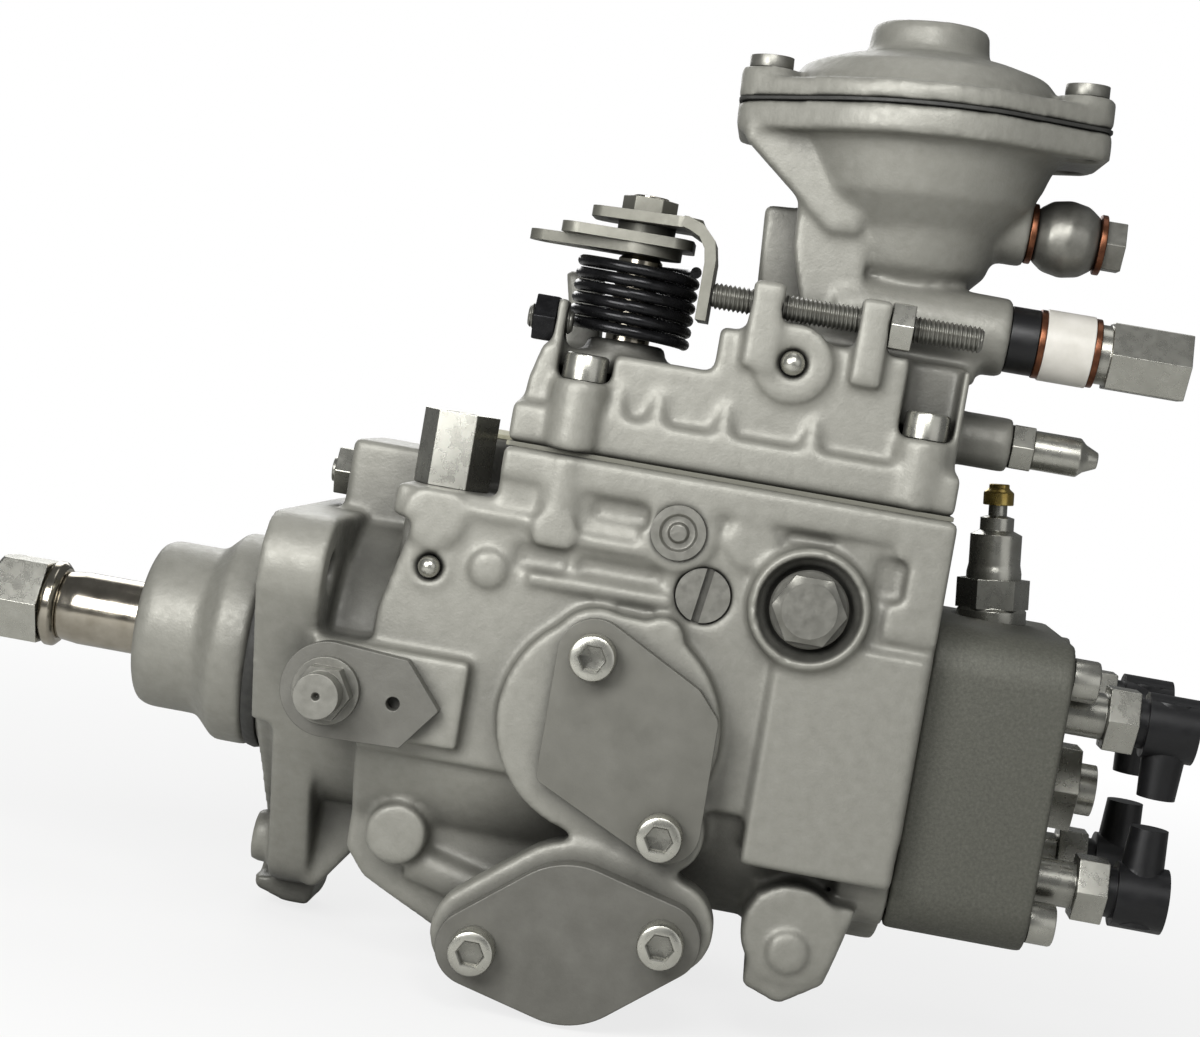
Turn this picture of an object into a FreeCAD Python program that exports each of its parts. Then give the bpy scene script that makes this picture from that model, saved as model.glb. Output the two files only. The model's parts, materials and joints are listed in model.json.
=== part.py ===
import FreeCAD, Part
import math
import os
import Sketcher

# Distributor type diesel injection pump, in millimetres.
# The origin is on the drive shaft axis, in the front face of the mounting flange.
# X runs from the drive end to the outlets, Z is up, and the control side faces minus Y.

V = FreeCAD.Vector
doc = FreeCAD.newDocument("diesel_injection_pump")

SIZES = {
    # fits and small clearances
    "running_fit": 0.04,
    "bolt_fit": 0.1,
    "seat_gap": 0.3,
    # drive end
    "nose_rad": 20.0,
    "nose_reach": 33.5,
    "nose_edge": 3.5,
    "pilot_rad": 25.0,
    "pilot_reach": 13.0,
    "seal_groove_width": 3.6,
    "seal_groove_depth": 2.2,
    "shaft_rad": 10.0,
    "shaft_end_rad": 8.7,
    "shaft_thread_rad": 6.0,
    "shaft_end_reach": 70.0,
    "shaft_nut_across": 19.0,
    "shaft_nut_height": 12.0,
    "lock_ring_rad": 10.2,
    "lock_ring_height": 4.0,
    # mounting flange
    "flange_thick": 15.0,
    "flange_bolt_rad": 46.0,
    "flange_hole_rad": 4.3,
    "flange_ear_rad": 12.0,
    "flange_foot_rad": 9.5,
    "flange_toe_side": 20.0,
    "flange_toe_drop": 51.0,
    # main casting
    "casing_start": 26.0,
    "casing_end": 148.0,
    "casing_half_width": 43.0,
    "casing_top": 57.5,
    "neck_rad": 34.0,
    "chamber_rad": 33.0,
    "shelf_top": 45.4,
    "shelf_end": 48.0,
    "governor_wall": 9.0,
    # hydraulic head
    "head_length": 31.5,
    "head_half_width": 37.0,
    "head_half_height": 35.0,
    "head_corner_rad": 11.0,
    "head_spigot": 8.0,
    "head_bolt_side": 29.5,
    "head_bolt_rise": 27.5,
    "outlet_offset": 19.5,
    "outlet_thread_rad": 6.0,
    "outlet_across": 14.0,
    "valve_rad": 3.2,
    "holder_neck": 10.0,
    "solenoid_x": 163.8,
    "solenoid_lean": 6.5,
    "cap_rad": 7.4,
    "plug_across": 19.0,
    "plug_thread_rad": 8.0,
    # pumping parts
    "plunger_rad": 5.0,
    "cam_plate_rad": 24.0,
    "roller_ring_rad": 25.0,
    "roller_rad": 4.0,
    "collar_rad": 11.0,
    "gear_start": 54.0,
    "gear_width": 8.0,
    "drive_gear_teeth": 36,
    "governor_gear_teeth": 22,
    "governor_side": 10.0,
    "governor_rise": 43.0,
    "governor_axle_rad": 4.0,
    "cage_rad": 15.5,
    "feed_ring_rad": 29.0,
    "feed_width": 16.0,
    # timing device
    "timing_x": 80.7,
    "timing_drop": 46.0,
    "timing_bore_rad": 13.0,
    "timing_boss_rad": 17.5,
    "timing_cover_lug_rad": 8.5,
    "timing_cover_thick": 5.5,
    "timing_face": 50.0,
    "timing_screw_run": 19.8,
    "timing_screw_rise": 4.4,
    "piston_length": 62.0,
    # side cover and small parts on the control side
    "side_pad_x": 81.0,
    "side_pad_z": 1.0,
    "side_pad_rad": 24.5,
    "side_pad_face": 49.0,
    "side_cover_thick": 3.5,
    # governor cover
    "gasket_thick": 1.0,
    "cover_half_width": 41.0,
    "cover_rim_height": 9.0,
    "cover_left_top": 81.0,
    "cover_step": 90.0,
    "cover_right_top": 91.0,
    "cover_wall": 6.0,
    "cover_bolt_left": 62.0,
    "cover_bolt_right": 138.0,
    "cover_bolt_inset": 5.5,
    # boost unit
    "boost_x": 129.5,
    "boost_pivot": 105.0,
    "boost_lean": 4.0,
    "bowl_rad": 31.0,
    "bowl_neck_rad": 14.0,
    "boost_seam": 146.0,
    "boost_flange_rad": 37.5,
    "boost_flange_thick": 6.5,
    "diaphragm_thick": 0.8,
    "boost_lug_x": 35.7,
    "boost_lug_y": 13.5,
    "boost_lug_rad": 6.6,
    "lid_boss_rad": 13.5,
    "lid_top": 168.3,
    "boost_pin_rad": 4.0,
    # control lever
    "lever_x": 69.0,
    "lever_y": -20.0,
    "lever_shaft_rad": 5.0,
    "lever_spring_rad": 13.0,
    "lever_wire_rad": 1.25,
    "lever_thick": 2.4,
    "lever_hub": 2.0,
    "stop_reach": 15.0,
    # adjusting screws and their nuts
    "adjuster_rad": 3.0,
    "adjuster_across": 10.0,
    "adjuster_nut_height": 5.0,
    "speed_screw_z": 97.4,
    "speed_screw_y": -36.0,
    "full_load_z": 76.0,
    "full_load_y": -10.0,
    # return union
    "return_z": 100.0,
    "return_y": -10.0,
    # socket screws
    "screw_rad": 3.0,
    "screw_head_rad": 5.0,
    "screw_head_height": 6.0,
    "screw_socket_across": 5.0,
}


class Size:
    """A length together with the sheet rule that gives it."""

    def __init__(self, value, rule):
        self.value = float(value)
        self.rule = rule

    def __add__(self, other):
        other = as_size(other)
        return Size(self.value + other.value, f"({self.rule} + {other.rule})")

    def __radd__(self, other):
        return as_size(other) + self

    def __sub__(self, other):
        other = as_size(other)
        return Size(self.value - other.value, f"({self.rule} - {other.rule})")

    def __rsub__(self, other):
        return as_size(other) - self

    def __mul__(self, factor):
        factor = as_size(factor)
        return Size(self.value * factor.value, f"({self.rule} * {factor.rule})")

    def __rmul__(self, factor):
        return self * factor

    def __truediv__(self, factor):
        factor = as_size(factor)
        return Size(self.value / factor.value, f"({self.rule} / {factor.rule})")

    def __neg__(self):
        return Size(-self.value, f"(0 - {self.rule})")


def as_size(amount):
    if isinstance(amount, Size):
        return amount
    return Size(amount, f"({round(float(amount), 6)})")


class Sheet:
    """The driving dimensions, one named cell each."""

    def __init__(self, values):
        self.cells = doc.addObject("Spreadsheet::Sheet", "Sizes")
        self.values = values
        for row, (alias, value) in enumerate(values.items(), start=1):
            self.cells.set(f"A{row}", alias)
            self.cells.set(f"B{row}", str(value))
            self.cells.setAlias(f"B{row}", alias)
        doc.recompute()

    def __getattr__(self, alias):
        return Size(self.values[alias], f"Sizes.{alias}")


s = Sheet(SIZES)

FACING = {
    "z": FreeCAD.Rotation(),
    "-z": FreeCAD.Rotation(V(1, 0, 0), 180),
    "x": FreeCAD.Rotation(V(1, 1, 1), 120),
    "-x": FreeCAD.Rotation(V(0, 1, 0), -90),
    "y": FreeCAD.Rotation(V(1, 0, 0), -90),
    "-y": FreeCAD.Rotation(V(1, 0, 0), 90),
}


def bind(item, prop, amount):
    """Set a size of an item and tie it to its sheet rule."""
    amount = as_size(amount)
    if "." not in prop:
        setattr(item, prop, amount.value)
    item.setExpression(prop, amount.rule)


def place(item, at=(0, 0, 0), facing="z"):
    """Turn an item's own Z axis to a direction, or by a rotation, and tie its place to the sheet."""
    turn = FACING.get(facing, facing) if isinstance(facing, str) else facing
    item.Placement = FreeCAD.Placement(V(*[as_size(a).value for a in at]), turn)
    for letter, amount in zip("xyz", at):
        bind(item, f"Placement.Base.{letter}", amount)
    return item


def tag(item, name):
    item.Label = name
    return item


def box(name, x, y, z):
    """A block between two values on each axis."""
    item = doc.addObject("Part::Box", name)
    for prop, span in zip(("Length", "Width", "Height"), (x, y, z)):
        bind(item, prop, as_size(span[1]) - span[0])
    return place(item, (x[0], y[0], z[0]))


def rod(name, rad, length, at=(0, 0, 0), facing="z"):
    item = doc.addObject("Part::Cylinder", name)
    bind(item, "Radius", rad)
    bind(item, "Height", length)
    return place(item, at, facing)


def cone(name, rad, end_rad, length, at=(0, 0, 0), facing="z"):
    item = doc.addObject("Part::Cone", name)
    bind(item, "Radius1", rad)
    bind(item, "Radius2", end_rad)
    bind(item, "Height", length)
    return place(item, at, facing)


def ball(name, rad, at):
    item = doc.addObject("Part::Sphere", name)
    bind(item, "Radius", rad)
    return place(item, at)


def spoke(name, inner, length, width, depth, angle, at):
    """A bar that points outwards from an X axis, given by its inner end, width and depth along X."""
    item = doc.addObject("Part::Box", name)
    for prop, amount in zip(("Length", "Width", "Height"), (length, width, depth)):
        bind(item, prop, amount)
    c = math.cos(math.radians(angle))
    n = math.sin(math.radians(angle))
    half = as_size(width) * 0.5
    inner = as_size(inner)
    foot = (at[0], inner * c + half * n + at[1], inner * n - half * c + at[2])
    return place(item, foot, FACING["x"] * FreeCAD.Rotation(V(0, 0, 1), angle))


def radial_rod(name, rad, length, inner, angle, at_x):
    """A cylinder that points outwards from the drive axis."""
    turn = math.radians(angle)
    foot = (at_x, as_size(inner) * math.cos(turn), as_size(inner) * math.sin(turn))
    return rod(name, rad, length, foot, FreeCAD.Rotation(V(1, 0, 0), angle) * FACING["y"])


def hexagon(name, across, length, at=(0, 0, 0), facing="z"):
    """A six sided bar given by its width across flats."""
    item = doc.addObject("Part::Prism", name)
    item.Polygon = 6
    bind(item, "Circumradius", as_size(across) / math.sqrt(3))
    bind(item, "Height", length)
    return place(item, at, facing)


def fuse(name, *items):
    item = doc.addObject("Part::MultiFuse", name)
    item.Shapes = list(items)
    item.Refine = True
    return item


def cut(name, base, *tools):
    """The base less the tools."""
    item = doc.addObject("Part::Cut", name)
    item.Base = base
    item.Tool = tools[0] if len(tools) == 1 else fuse(name + "_tools", *tools)
    item.Refine = True
    return item


def group(name, *items):
    """Separate solids that share one node."""
    item = doc.addObject("Part::Compound", name)
    item.Links = list(items)
    return item


def fix_point(sketch, edge, end, x, y):
    """Tie a sketch point to the sheet on both of the sketch's axes."""
    for amount, kind, axis in ((x, "DistanceX", -2), (y, "DistanceY", -1)):
        amount = as_size(amount)
        if abs(amount.value) < 1e-9:
            sketch.addConstraint(Sketcher.Constraint("PointOnObject", edge, end, axis))
        else:
            rule = Sketcher.Constraint(kind, -1, 1, edge, end, amount.value)
            sketch.setExpression(f"Constraints[{sketch.addConstraint(rule)}]", amount.rule)


def new_sketch(name, plane_role):
    """A body with one empty sketch on its own origin plane."""
    body = doc.addObject("PartDesign::Body", name)
    sketch = body.newObject("Sketcher::SketchObject", name + "_sketch")
    plane = [f for f in body.Origin.OriginFeatures if f.Role == plane_role][0]
    sketch.AttachmentSupport = [(plane, "")]
    sketch.MapMode = "FlatFace"
    return body, sketch


def outlined(sketch, corners):
    """A closed outline of straight edges whose corners are tied to the sheet."""
    points = [V(as_size(x).value, as_size(y).value, 0) for x, y in corners]
    count = len(points)
    for index in range(count):
        sketch.addGeometry(Part.LineSegment(points[index], points[(index + 1) % count]), False)
    for index in range(count):
        joint = Sketcher.Constraint("Coincident", index, 2, (index + 1) % count, 1)
        sketch.addConstraint(joint)
    for index, (x, y) in enumerate(corners):
        fix_point(sketch, index, 1, x, y)


def turned(name, outline, at=(0, 0, 0), facing="z"):
    """A lathe part from its half outline, as pairs of radius and height."""
    body, sketch = new_sketch(name, "XZ_Plane")
    outlined(sketch, outline)
    turn = body.newObject("PartDesign::Revolution", name + "_turn")
    turn.Profile = sketch
    turn.ReferenceAxis = (sketch, ["V_Axis"])
    turn.Angle = 360
    return place(body, at, facing)


def prism(name, corners, thick, at=(0, 0, 0), facing="z"):
    """A flat piece with straight edges, padded along its own Z axis."""
    body, sketch = new_sketch(name, "XY_Plane")
    outlined(sketch, corners)
    pad = body.newObject("PartDesign::Pad", name + "_pad")
    pad.Profile = sketch
    bind(pad, "Length", thick)
    return place(body, at, facing)


def belt(sketch, rounds):
    """A closed outline of arcs and tangent lines round circles listed counter-clockwise."""
    rounds = [[as_size(a) for a in r] for r in rounds]
    count = len(rounds)
    leave = []
    for index in range(count):
        x0, y0, r0 = [a.value for a in rounds[index]]
        x1, y1, r1 = [a.value for a in rounds[(index + 1) % count]]
        heading = math.atan2(y1 - y0, x1 - x0)
        leave.append(heading - math.acos((r0 - r1) / math.hypot(x1 - x0, y1 - y0)))
    for index, (x, y, r) in enumerate(rounds):
        start = leave[index - 1]
        end = leave[index]
        while end < start:
            end += 2 * math.pi
        circle = Part.Circle(V(x.value, y.value, 0), V(0, 0, 1), r.value)
        sketch.addGeometry(Part.ArcOfCircle(circle, start, end), False)
        following = rounds[(index + 1) % count]
        out = V(math.cos(end), math.sin(end), 0)
        here = V(x.value, y.value, 0) + out * r.value
        there = V(following[0].value, following[1].value, 0) + out * following[2].value
        sketch.addGeometry(Part.LineSegment(here, there), False)
    for index, (x, y, r) in enumerate(rounds):
        arc = 2 * index
        following = 2 * ((index + 1) % count)
        sketch.addConstraint(Sketcher.Constraint("Tangent", arc, 2, arc + 1, 1))
        sketch.addConstraint(Sketcher.Constraint("Tangent", arc + 1, 2, following, 1))
        width = sketch.addConstraint(Sketcher.Constraint("Radius", arc, r.value))
        sketch.setExpression(f"Constraints[{width}]", r.rule)
        fix_point(sketch, arc, 3, x, y)


def plate(name, rounds, thick, at=(0, 0, 0), facing="z", holes=()):
    """A flat piece with a rounded outline and round holes, padded along its own Z axis."""
    body, sketch = new_sketch(name, "XY_Plane")
    belt(sketch, rounds)
    for x, y, radius in holes:
        radius = as_size(radius)
        centre = V(as_size(x).value, as_size(y).value, 0)
        edge = sketch.addGeometry(Part.Circle(centre, V(0, 0, 1), radius.value), False)
        width = sketch.addConstraint(Sketcher.Constraint("Radius", edge, radius.value))
        sketch.setExpression(f"Constraints[{width}]", radius.rule)
        fix_point(sketch, edge, 3, x, y)
    pad = body.newObject("PartDesign::Pad", name + "_pad")
    pad.Profile = sketch
    bind(pad, "Length", thick)
    return place(body, at, facing)


def tilted(item, at, lean):
    """Put an item made about its own origin at a point and lean its top back towards the drive end."""
    place(item, at, FreeCAD.Rotation(V(0, -1, 0), lean.value))
    item.setExpression("Placement.Rotation.Angle", lean.rule)
    return item


def up(height):
    """A height of the boost unit, measured along its leaning axis from the pivot of the lean."""
    return height - s.boost_pivot


def boost_placed(item):
    return tilted(item, (s.boost_x, 0, s.boost_pivot), s.boost_lean)


def socket_screw(name, at, facing, shank, head_rad=None):
    """A cylinder head screw; its own Z axis points out of the head, seated at its origin."""
    head_rad = head_rad or s.screw_head_rad
    head = rod(name + "_head", head_rad, s.screw_head_height)
    stem = rod(name + "_stem", s.screw_rad, shank, (0, 0, -as_size(shank)))
    solid = fuse(name + "_solid", head, stem)
    depth = s.screw_head_height * 0.5
    key = hexagon(name + "_key", s.screw_socket_across, depth + 1, (0, 0, s.screw_head_height - depth))
    return place(cut(name, solid, key), at, facing)


def coil(name, coil_rad, wire_rad, height, turns, at=(0, 0, 0), facing="z", steps=10, sides=4):
    """A helical spring of straight facets; its own Z axis is the coil's axis."""
    rings = []
    wire_rad = as_size(wire_rad).value
    coil_rad = as_size(coil_rad).value
    rise = as_size(height).value - 2 * wire_rad
    for index in range(turns * steps + 1):
        angle = 2 * math.pi * index / steps
        z = wire_rad + rise * index / (turns * steps)
        ring = []
        for side in range(sides):
            around = 2 * math.pi * (side + 0.5) / sides
            radius = coil_rad + wire_rad * math.cos(around)
            ring.append(V(radius * math.cos(angle), radius * math.sin(angle), z + wire_rad * math.sin(around)))
        rings.append(ring)
    faces = []
    for low, high in zip(rings, rings[1:]):
        for side in range(sides):
            follow = (side + 1) % sides
            for corners in ((low[side], high[side], low[follow]), (low[follow], high[side], high[follow])):
                faces.append(Part.Face(Part.makePolygon(list(corners) + [corners[0]])))
    for ring in (rings[0], rings[-1]):
        faces.append(Part.Face(Part.makePolygon(ring + [ring[0]])))
    solid = Part.Solid(Part.Shell(faces))
    if solid.Volume < 0:
        solid.reverse()
    item = doc.addObject("Part::Feature", name)
    item.Shape = solid
    return place(item, at, facing)


def gear_blank(name, teeth, pitch_rad, bore, width, first_tooth, at, facing):
    """A spur gear with straight flanked teeth, one of them centred on the first tooth angle."""
    teeth = int(as_size(teeth).value)
    pitch_rad = as_size(pitch_rad).value
    module = 2 * pitch_rad / teeth
    corners = []
    for tooth in range(teeth):
        middle = math.radians(first_tooth) + 2 * math.pi * tooth / teeth
        for rise, share in ((-1.15, -0.30), (0.85, -0.12), (0.85, 0.12), (-1.15, 0.30)):
            angle = middle + share * 2 * math.pi / teeth
            radius = pitch_rad + rise * module
            corners.append(V(radius * math.cos(angle), radius * math.sin(angle), 0))
    rim = Part.Face(Part.makePolygon(corners + [corners[0]]))
    width = as_size(width).value
    solid = rim.extrude(V(0, 0, width)).cut(Part.makeCylinder(as_size(bore).value, width))
    item = doc.addObject("Part::Feature", name)
    item.Shape = solid
    return place(item, at, facing)


# places that several sub-parts share
head_start = s.casing_end
head_end = s.casing_end + s.head_length
tapped = s.screw_rad + s.bolt_fit
cover_base = s.casing_top + s.gasket_thick
side_wall = -s.casing_half_width
cover_bolt_side = s.cover_half_width - s.cover_bolt_inset
timing_covers_at = ((-1, "-y"), (1, "y"))
outlets = [(y, z) for y in (-1, 1) for z in (-1, 1)]
flange_bolts = [(-0.866025, 0.5), (0.866025, 0.5), (0, -1)]
cover_bolts_at = [(x, y) for x in (s.cover_bolt_left, s.cover_bolt_right) for y in (-1, 1)]
side_screws_at = ((-5.3, 15.2), (15.3, -20.5))
boost_lugs = [(s.boost_lug_x * x, s.boost_lug_y * y) for x in (-1, 1) for y in (-1, 1)]
banjo_start = s.boost_x + 27.2
banjo_z = s.boost_seam - 20.7
return_start = s.casing_end + 6
hex_plug_x = 119.5
hex_plug_z = 33.7
slot_plug_x = 96.3
slot_plug_z = 32.4
idle_seat = 53.7
idle_y = -31.5
idle_z = s.cover_left_top + 5.5
pivot_x = 117
pivot_z = 30


def timing_rounds(hand, grow=0):
    """The rounded diamond round the timing bore, seen from the side that a hand of 1 or -1 gives."""
    lug = s.timing_cover_lug_rad + grow
    run = s.timing_screw_run
    rise = s.timing_screw_rise * hand
    middle = (0, 0, s.timing_boss_rad + grow)
    return [(-run, -rise, lug), middle, (run, rise, lug), middle]


def flange_rounds():
    ear = s.flange_bolt_rad
    side = 0.866025 * ear
    toe = (s.flange_toe_side, -s.flange_toe_drop, s.flange_foot_rad)
    return [(0, -ear, s.flange_foot_rad), toe, (side, 0.5 * ear, s.flange_ear_rad),
            (-side, 0.5 * ear, s.flange_ear_rad)]


def head_rounds():
    side = s.head_half_width - s.head_corner_rad
    rise = s.head_half_height - s.head_corner_rad
    return [(x * side, y * rise, s.head_corner_rad) for x, y in ((-1, -1), (1, -1), (1, 1), (-1, 1))]


def pilot_nose():
    root = s.flange_thick / 2
    groove_start = -s.pilot_reach + 8
    groove_floor = s.pilot_rad - s.seal_groove_depth
    outline = [
        (0, root),
        (0, -s.nose_reach),
        (s.nose_rad - s.nose_edge, -s.nose_reach),
        (s.nose_rad - s.nose_edge * 0.3, -s.nose_reach + s.nose_edge * 0.3),
        (s.nose_rad, -s.nose_reach + s.nose_edge),
        (s.nose_rad, -s.pilot_reach - 5),
        (s.pilot_rad, -s.pilot_reach),
        (s.pilot_rad, groove_start),
        (groove_floor, groove_start),
        (groove_floor, groove_start + s.seal_groove_width),
        (s.pilot_rad, groove_start + s.seal_groove_width),
        (s.pilot_rad, root),
    ]
    return turned("pilot_nose", outline, facing="x")


def round_pad(name, x, z, rad, proud):
    """A round cast pad on the control side."""
    return rod(name, rad, 6 + as_size(proud), (x, side_wall + 6, z), "-y")


def housing_blocks():
    """The masses of the main casting before it is bored."""
    wide = s.casing_half_width
    neck = rod("casing_neck", s.neck_rad, s.casing_end - s.flange_thick / 2,
               (s.flange_thick / 2, 0, 0), "x")
    barrel = rod("casing_barrel", wide, s.casing_end - s.casing_start, (s.casing_start, 0, 0), "x")
    upper = box("casing_upper", (s.casing_start, s.casing_end), (-wide, wide), (-14, s.casing_top))
    end_flange = plate("casing_end_flange", head_rounds(), 12, (s.casing_end - 12, 0, 0), "x")
    axle_block = box("axle_block", (s.governor_wall, s.casing_start), (-8, 26), (16, s.governor_rise + 9))
    flange = plate("mounting_flange", flange_rounds(), s.flange_thick, (0, 0, 0), "x")
    back = s.flange_thick - 1
    web = prism("foot_web", [(back, -s.flange_toe_drop - 4), (back + 3, -s.flange_toe_drop - 4),
                             (s.casing_start - 1, -44), (s.casing_start + 4, -30), (back, -30)],
                18, (0, 12, 0), "-y")
    toe = prism("casing_toe", [(s.casing_start, -20), (s.casing_start, -39), (s.casing_start + 5, -45),
                               (50, -54), (s.timing_x - 12, -s.timing_drop - 12), (s.timing_x - 12, -20)],
                60, (0, 30, 0), "-y")
    hook = prism("flange_hook", [(8, -50), (0.5, -54), (0, -60), (8, -62.5), (14, -62.5),
                                 (back + 0.9, -58), (back, -50)], 20, (0, 26, 0), "-y")
    return [pilot_nose(), flange, neck, barrel, upper, end_flange, axle_block, web, toe, hook]


def housing_side_forms():
    """Pads, ribs and bosses that stand on the control side of the main casting."""
    proud = s.side_pad_face + side_wall
    (x0, z0), (x1, z1) = side_screws_at
    forms = [
        round_pad("side_cover_pad", s.side_pad_x, s.side_pad_z, s.side_pad_rad, proud),
        round_pad("side_screw_pad", s.side_pad_x + x0, s.side_pad_z + z0, 10, proud),
        round_pad("side_screw_pad", s.side_pad_x + x1, s.side_pad_z + z1, 9.5, proud),
        round_pad("side_corner_pad", s.side_pad_x + 8.3, s.side_pad_z + 21, 4.8, proud),
        round_pad("dowel_pad", 49, 30, 4, 1.8),
        round_pad("mid_pad", 104.8, 45.4, 5.5, 1.2),
        round_pad("ring_plug_pad", 88.8, 45.1, 8.5, 1.5),
        round_pad("hex_plug_pad", hex_plug_x, hex_plug_z, 12, 2.5),
        round_pad("ball_plug_pad", 36, 28.2, 4.5, 0.6),
        round_pad("inlet_bulge", 35.5, 39.5, 7, 1.5),
        rod("column_foot", 6, 15, (s.cover_bolt_left, side_wall + 3.5, s.casing_top - 15)),
        round_pad("column_pad", s.cover_bolt_left, 40.6, 5, 2.5),
        rod("drain_boss", 11, 55, (128, 14, -38), "-y"),
        rod("drain_pad", 4.5, 57, (128, 14, -41.8), "-y"),
        prism("drain_web", [(119, -30), (119.5, -51), (128, -54), (137, -48), (141.5, -30)], 48,
              (0, 8, 0), "-y"),
        rod("corner_boss", 7, 30, (37.8, -8, -32.7), "-y"),
        rod("oil_ridge", 4.5, 22, (41, -30, -39), FreeCAD.Rotation(V(0, 1, 0), 104)),
        box("flat_land", (114, 147.5), (side_wall - 2, side_wall + 4), (-24, 27)),
        box("support_pad", (14, 49), (-47, -30), (-10.6, 9.2)),
        box("upper_rib", (68, 83.5), (side_wall - 1.6, side_wall + 4), (38.6, 41)),
        box("lower_rib", (58, 90), (side_wall - 1.6, side_wall + 4), (28.4, 31)),
        box("inlet_ledge", (40, 57.5), (side_wall - 1.2, side_wall + 4), (40.6, 43)),
        box("rim_rib", (s.shelf_end, s.casing_end), (side_wall - 1.5, side_wall + 4), (50.5, s.casing_top)),
        box("end_rib", (s.casing_end - 12, s.casing_end), (side_wall - 1.5, side_wall + 4),
            (30, s.casing_top)),
    ]
    for x in (s.cover_bolt_left, s.cover_bolt_right):
        for y in (-1, 1):
            column = rod("bolt_column", 7.5, 22, (x, cover_bolt_side * y, s.casing_top - 22), "z")
            forms.append(column)
    for hand, facing in timing_covers_at:
        lug = plate("timing_lug", timing_rounds(-hand, 2.2), 10,
                    (s.timing_x, hand * (s.timing_face - 10), 1.8 - s.timing_drop), facing)
        forms.append(lug)
    forms.append(rod("timing_barrel", s.timing_boss_rad, 2 * s.timing_face - 10,
                     (s.timing_x, s.timing_face - 5, -s.timing_drop), "-y"))
    return forms


def housing_recesses():
    """The pocket behind the flange, the flange's lower step and the sunk fields of the side wall."""
    left = s.flange_thick - 0.5
    pocket = prism("flange_pocket", [(left, 9), (s.casing_start - 2, 9), (s.casing_start + 5, 38), (left, 38)],
                   40, (0, 22 - s.flange_bolt_rad, 0), "-y")
    kept = rod("pocket_floor", s.neck_rad, 30, (s.flange_thick - 2, 0, 0), "x")
    lowered = prism("lowered_foot", [(-27, -14), (-45, -14), (-20, -57), (14, -57), (17, -49)],
                    5 + 1, (-1, 0, 0), "x")
    rim = rod("foot_bolt_rim", s.flange_hole_rad + 2, 8, (-2, 0, -s.flange_bolt_rad), "x")
    step = cut("flange_step", lowered, rim)
    sunk = side_wall + 1.6
    fields = [box("side_field", x, (side_wall - 4, sunk), z) for x, z in (
        ((69, 82), (44.5, 49.5)), ((68, 87), (32.4, 36.4)), ((111.5, 123), (47, 49.6)),
        ((132, 139), (38, 47.5)), ((54, 66), (31.5, 37)))]
    return [cut("pocket_cut", pocket, kept), step, *fields]


def housing_bores():
    """Everything that is bored, drilled or cored in the main casting."""
    ring = s.roller_ring_rad + s.running_fit
    past = s.casing_end + 1
    bores = [
        rod("shaft_bore", s.shaft_rad + s.running_fit, s.nose_reach + 20, (-s.nose_reach - 1, 0, 0), "x"),
        rod("seal_recess", 14.5, 9.5, (-s.nose_reach - 1, 0, 0), "x"),
        rod("feed_bore", s.feed_ring_rad + s.running_fit, 22, (14, 0, 0), "x"),
        rod("gear_chamber", s.chamber_rad, s.timing_x - 12 - 34, (34, 0, 0), "x"),
        rod("ring_bore", ring, s.timing_x, (34, 0, 0), "x"),
        rod("pump_chamber", s.chamber_rad, past - s.timing_x - 8, (s.timing_x + 8, 0, 0), "x"),
        box("governor_chamber", (52, s.casing_end - 7), (-33.5, 33.5), (27, s.casing_top + 1)),
        box("gear_slot", (52, 65), (-20, 28), (15, 30)),
        rod("axle_bore", s.governor_axle_rad + 0.02, 50,
            (s.governor_wall - 1, s.governor_side, s.governor_rise), "x"),
        rod("timing_bore", s.timing_bore_rad, 2 * s.timing_face + 2,
            (s.timing_x, s.timing_face + 1, -s.timing_drop), "-y"),
        box("pin_slot", (s.timing_x - 4.5, s.timing_x + 4.5), (-13, 13), (-s.timing_drop, -20)),
        box("inlet_shelf", (s.casing_start - 1, s.shelf_end), (side_wall - 3, -8), (s.shelf_top, 60)),
        rod("inlet_bore", 6.1, 14, (35.5, -25, s.shelf_top - 13), "z"),
        rod("slot_plug_bore", 6.1, 8, (slot_plug_x, side_wall + 7, slot_plug_z), "-y"),
        rod("ring_plug_bore", 5.1, 12, (88.8, side_wall + 8, 45.1), "-y"),
        rod("hex_plug_recess", 9.4, 5, (hex_plug_x, side_wall + 1.5, hex_plug_z), "-y"),
        rod("hex_plug_bore", 5.1, 14, (hex_plug_x, side_wall + 9, hex_plug_z), "-y"),
        rod("ball_plug_bore", 2.6, 9, (36, side_wall + 7, 28.2), "-y"),
        rod("support_bore", 4.1, 24, (19.5, -24, -1.5), "-y"),
        rod("pivot_bore", 2.05, 74, (pivot_x, 37, pivot_z), "-y"),
    ]
    for side, up_share in flange_bolts:
        at = (-1, s.flange_bolt_rad * side, s.flange_bolt_rad * up_share)
        bores.append(rod("flange_hole", s.flange_hole_rad, s.flange_thick + 12, at, "x"))
    for y, z in outlets:
        at = (s.casing_end - 14, s.head_bolt_side * y, s.head_bolt_rise * z)
        bores.append(rod("head_bolt_bore", tapped, 15, at, "x"))
    for x, y in cover_bolts_at:
        at = (x, cover_bolt_side * y, s.casing_top - 16)
        bores.append(rod("cover_bolt_bore", tapped, 17, at))
    for x, z in side_screws_at:
        at = (s.side_pad_x + x, side_wall + 6, s.side_pad_z + z)
        bores.append(rod("side_screw_bore", tapped, 14, at, "-y"))
    for hand, facing in timing_covers_at:
        for end in (-1, 1):
            at = (s.timing_x + s.timing_screw_run * end, hand * (s.timing_face - 11),
                  s.timing_screw_rise * end - s.timing_drop)
            bores.append(rod("timing_screw_bore", tapped, 12, at, facing))
    return bores


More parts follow.
